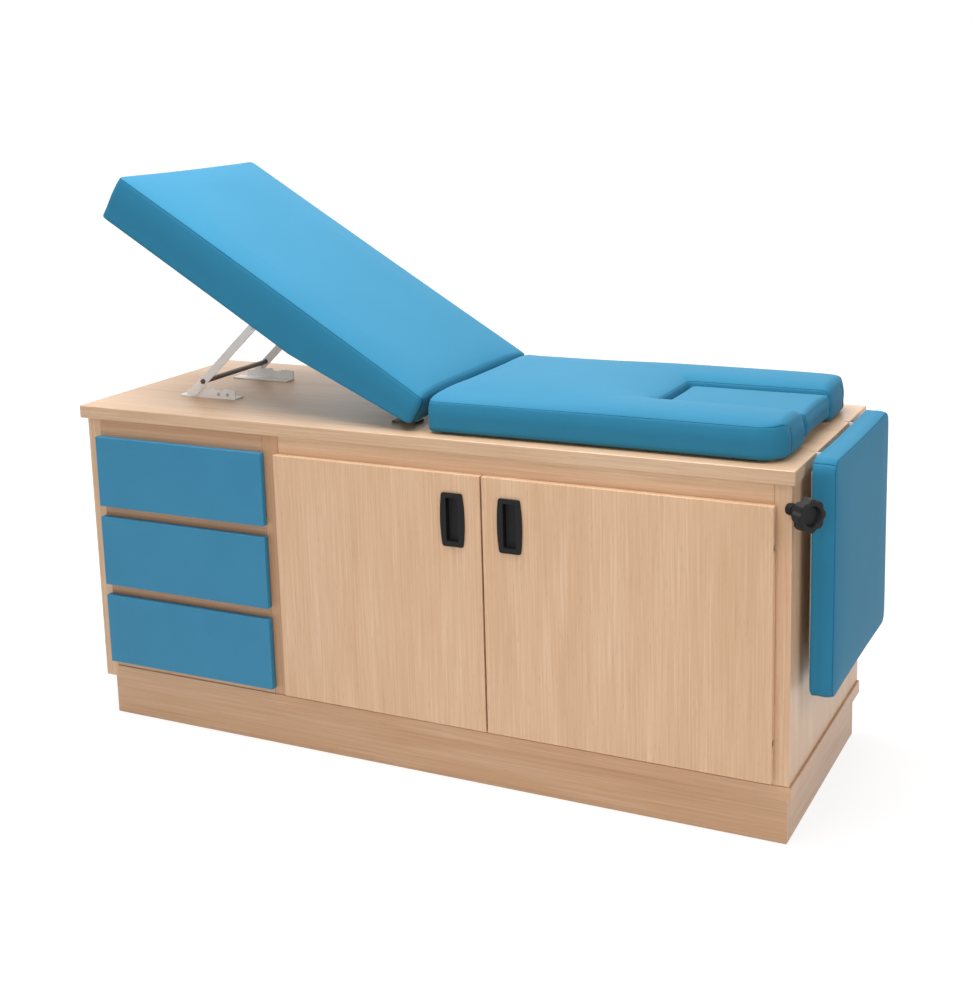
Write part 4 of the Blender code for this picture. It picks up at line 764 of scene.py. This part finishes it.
infill_start, infill_half, infill_base = 0.5305, 0.1005, 0.7978
infill_seam, infill_crown = 0.850, 0.006
infill = cushion(
    "infill_cushion", (infill_start, seat_end), (-infill_half, infill_half), (0.014, 0.014),
    infill_seam, lambda px, py: infill_base, infill_crown, Matrix.Identity(4), fall=(0.0, 0.012))
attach(infill, "infill")
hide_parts("infill_pad")


# Leg flap: a cushion on a white laminated board, hung from two steel arms that turn in slots
# in the table top. It hangs down at rest.
def white_laminate():
    # White melamine facing: clean, faintly grained, satin.
    material, tree, shader = finish_named("white_melamine_board")
    place = add(tree, "TexCoord").outputs["Object"]
    cloud = add(tree, "TexNoise", {"Vector": place, "Scale": 40.0, "Detail": 3.0})
    colour = add(
        tree, "ValToRGB", {0: cloud.outputs[0]}, stops=((0.3, "#E4E3DF"), (0.7, "#EFEEEB")))
    tree.links.new(colour.outputs[0], shader.inputs["Base Color"])
    shader.inputs["Roughness"].default_value = 0.4
    return material


flap_place = Matrix(((0, 0, 1, 0.8913), (0, 1, 0, 0), (-1, 0, 0, 0.797), (0, 0, 0, 1)))
flap_long, flap_half, flap_back, flap_seam, flap_crown = 0.497, 0.2475, 0.0005, 0.047, 0.008
flap = cushion(
    "flap_cushion", (0.0, flap_long), (-flap_half, flap_half), (0.032, 0.032), flap_seam,
    lambda px, py: flap_back, flap_crown, flap_place,
    posts=((0.0, -flap_half), (0.0, flap_half), (flap_long, -flap_half), (flap_long, flap_half)),
    soften=0.004)
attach(flap, "leg_flap")
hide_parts("flap_pad")
dress(white_laminate(), "flap_board")
dress(white_steel, "flap_arm_front", "flap_arm_rear")


# Star knob: an eight-lobed hand knob of moulded black plastic on a steel spindle. It turns in a
# moulded collar saddled over the front corner of the right stile, with a plain bore.
stile_corner = Vector((0.868, -0.298, 0.7075))
knob_axis = Vector((0.819152, -0.573576, 0.0))
knob_turned = knob_axis.to_track_quat("Z", "Y").to_euler()
collar_back, collar_face, collar_radius, collar_bore = -0.0065, 0.008, 0.0125, 0.0056
collar_edge, cutter = 0.0022, 0.1
bpy.ops.object.select_all(action="DESELECT")
bpy.ops.mesh.primitive_cylinder_add(
    vertices=64, radius=collar_radius, depth=collar_face - collar_back, rotation=knob_turned,
    location=stile_corner + knob_axis * (collar_back + collar_face) / 2)
collar = bpy.context.object
collar.name = "knob_collar"
bpy.ops.object.transform_apply(location=True, rotation=True, scale=True)
select_only(collar, "FACE", lambda spot, normal: normal.dot(knob_axis) > 0.9)
bpy.ops.mesh.bevel(offset=collar_edge, segments=4)
bpy.ops.object.mode_set(mode="OBJECT")
bpy.ops.mesh.primitive_cube_add(
    size=cutter, location=stile_corner + Vector((-cutter / 2, cutter / 2, 0.0)))
join_shape(collar, bpy.context.object, "DIFFERENCE")
bpy.ops.mesh.primitive_cylinder_add(
    vertices=48, radius=collar_bore, depth=cutter, rotation=knob_turned, location=stile_corner)
join_shape(collar, bpy.context.object, "DIFFERENCE")
bpy.ops.object.shade_smooth_by_angle(angle=math.radians(35))
collar.data.materials.append(plastic)
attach(collar, "cabinet")
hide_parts("knob_bush")
dress(plastic, "star_knob")


# Stage: a seamless white floor that keeps the table's shadow, an even white world, softboxes
# overhead, behind, in front and at the foot end, and the camera, a little above the pads and
# towards the foot end.
def white_rays(tree):
    """1 for the rays that find the surroundings white: the camera's and those it sees mirrored."""
    path = add(tree, "LightPath").outputs
    total = add(tree, "Math", {0: path["Is Camera Ray"], 1: path["Is Glossy Ray"]}, operation="ADD")
    total = add(
        tree, "Math", {0: total.outputs[0], 1: path["Is Transmission Ray"]},
        operation="ADD", use_clamp=True)
    return total.outputs[0]


bpy.ops.mesh.primitive_plane_add(size=60, location=(0, 0, 0))
floor = bpy.context.object
floor.name = "studio_floor"
paper, tree, shader = finish_named("seamless_paper")
tree.nodes.remove(shader)
bounce = add(tree, "BsdfDiffuse", {"Color": linear("#EEEEEE")})
shade = add(tree, "BsdfDiffuse", {"Color": linear("#8A8A8A")})
# Seen directly, the paper glows up to white, a little less near the table so that its shadow shows.
away = add(tree, "VectorMath", {0: add(tree, "TexCoord").outputs["Object"]}, operation="LENGTH")
level = add(tree, "MapRange", {0: away.outputs["Value"], 1: 1.3, 2: 3.5, 3: 0.82, 4: 1.0})
glow = add(tree, "Emission", {"Color": linear("#FFFFFF"), "Strength": level.outputs[0]})
shown = add(tree, "AddShader", {0: shade.outputs[0], 1: glow.outputs[0]})
mixed = add(tree, "MixShader", {0: white_rays(tree), 1: bounce.outputs[0], 2: shown.outputs[0]})
tree.links.new(mixed.outputs[0], tree.nodes["Material Output"].inputs["Surface"])
floor.data.materials.append(paper)

world = bpy.data.worlds.new("studio")
bpy.context.scene.world = world
world.use_nodes = True
tree = world.node_tree
level = add(tree, "MapRange", {0: white_rays(tree), 3: 0.31, 4: 1.0})
sky = tree.nodes["Background"]
sky.inputs["Color"].default_value = linear("#FFFFFF")
tree.links.new(level.outputs[0], sky.inputs["Strength"])


def softbox(name, at, aim, size, power):
    """A rectangular lamp aimed at a point; size in metres, power in watts."""
    lamp = bpy.data.lights.new(name, "AREA")
    lamp.shape = "RECTANGLE"
    lamp.size, lamp.size_y = size
    lamp.energy = power
    item = bpy.data.objects.new(name, lamp)
    bpy.context.scene.collection.objects.link(item)
    item.location = at
    item.rotation_euler = (Vector(aim) - Vector(at)).to_track_quat("-Z", "Y").to_euler()
    item.visible_camera = False


softbox("overhead_softbox", (-0.3, -0.3, 3.2), (-0.2, -0.1, 0.6), (3.0, 2.2), 112)
softbox("back_softbox", (-0.8, 3.2, 3.2), (-0.3, 0.0, 1.0), (3.2, 2.0), 36)
softbox("front_fill", (0.4, -4.0, 1.8), (0.2, 0.0, 0.5), (2.4, 1.8), 21)
softbox("foot_fill", (2.9, -1.3, 2.3), (0.7, 0.0, 0.6), (1.6, 1.6), 23)

camera_place = (1.6166, -3.1066, 1.5613)
yaw, pitch, roll = -0.4615, 0.189, -0.0271
ahead = Vector((math.sin(yaw) * math.cos(pitch), math.cos(yaw) * math.cos(pitch), -math.sin(pitch)))
level_right = Vector((math.cos(yaw), -math.sin(yaw), 0))
level_up = level_right.cross(ahead)
right = level_right * math.cos(roll) + level_up * math.sin(roll)
up = level_up * math.cos(roll) - level_right * math.sin(roll)
lens = bpy.data.cameras.new("view")
lens.sensor_width = 36.0
lens.lens = 55.31
lens.shift_y = -0.14
lens.clip_end = 120
camera = bpy.data.objects.new("view", lens)
bpy.context.scene.collection.objects.link(camera)
turned = Matrix((right, up, -ahead)).transposed().to_4x4()
camera.matrix_world = Matrix.Translation(camera_place) @ turned
bpy.context.scene.camera = camera
bpy.context.scene.view_settings.view_transform = "Standard"
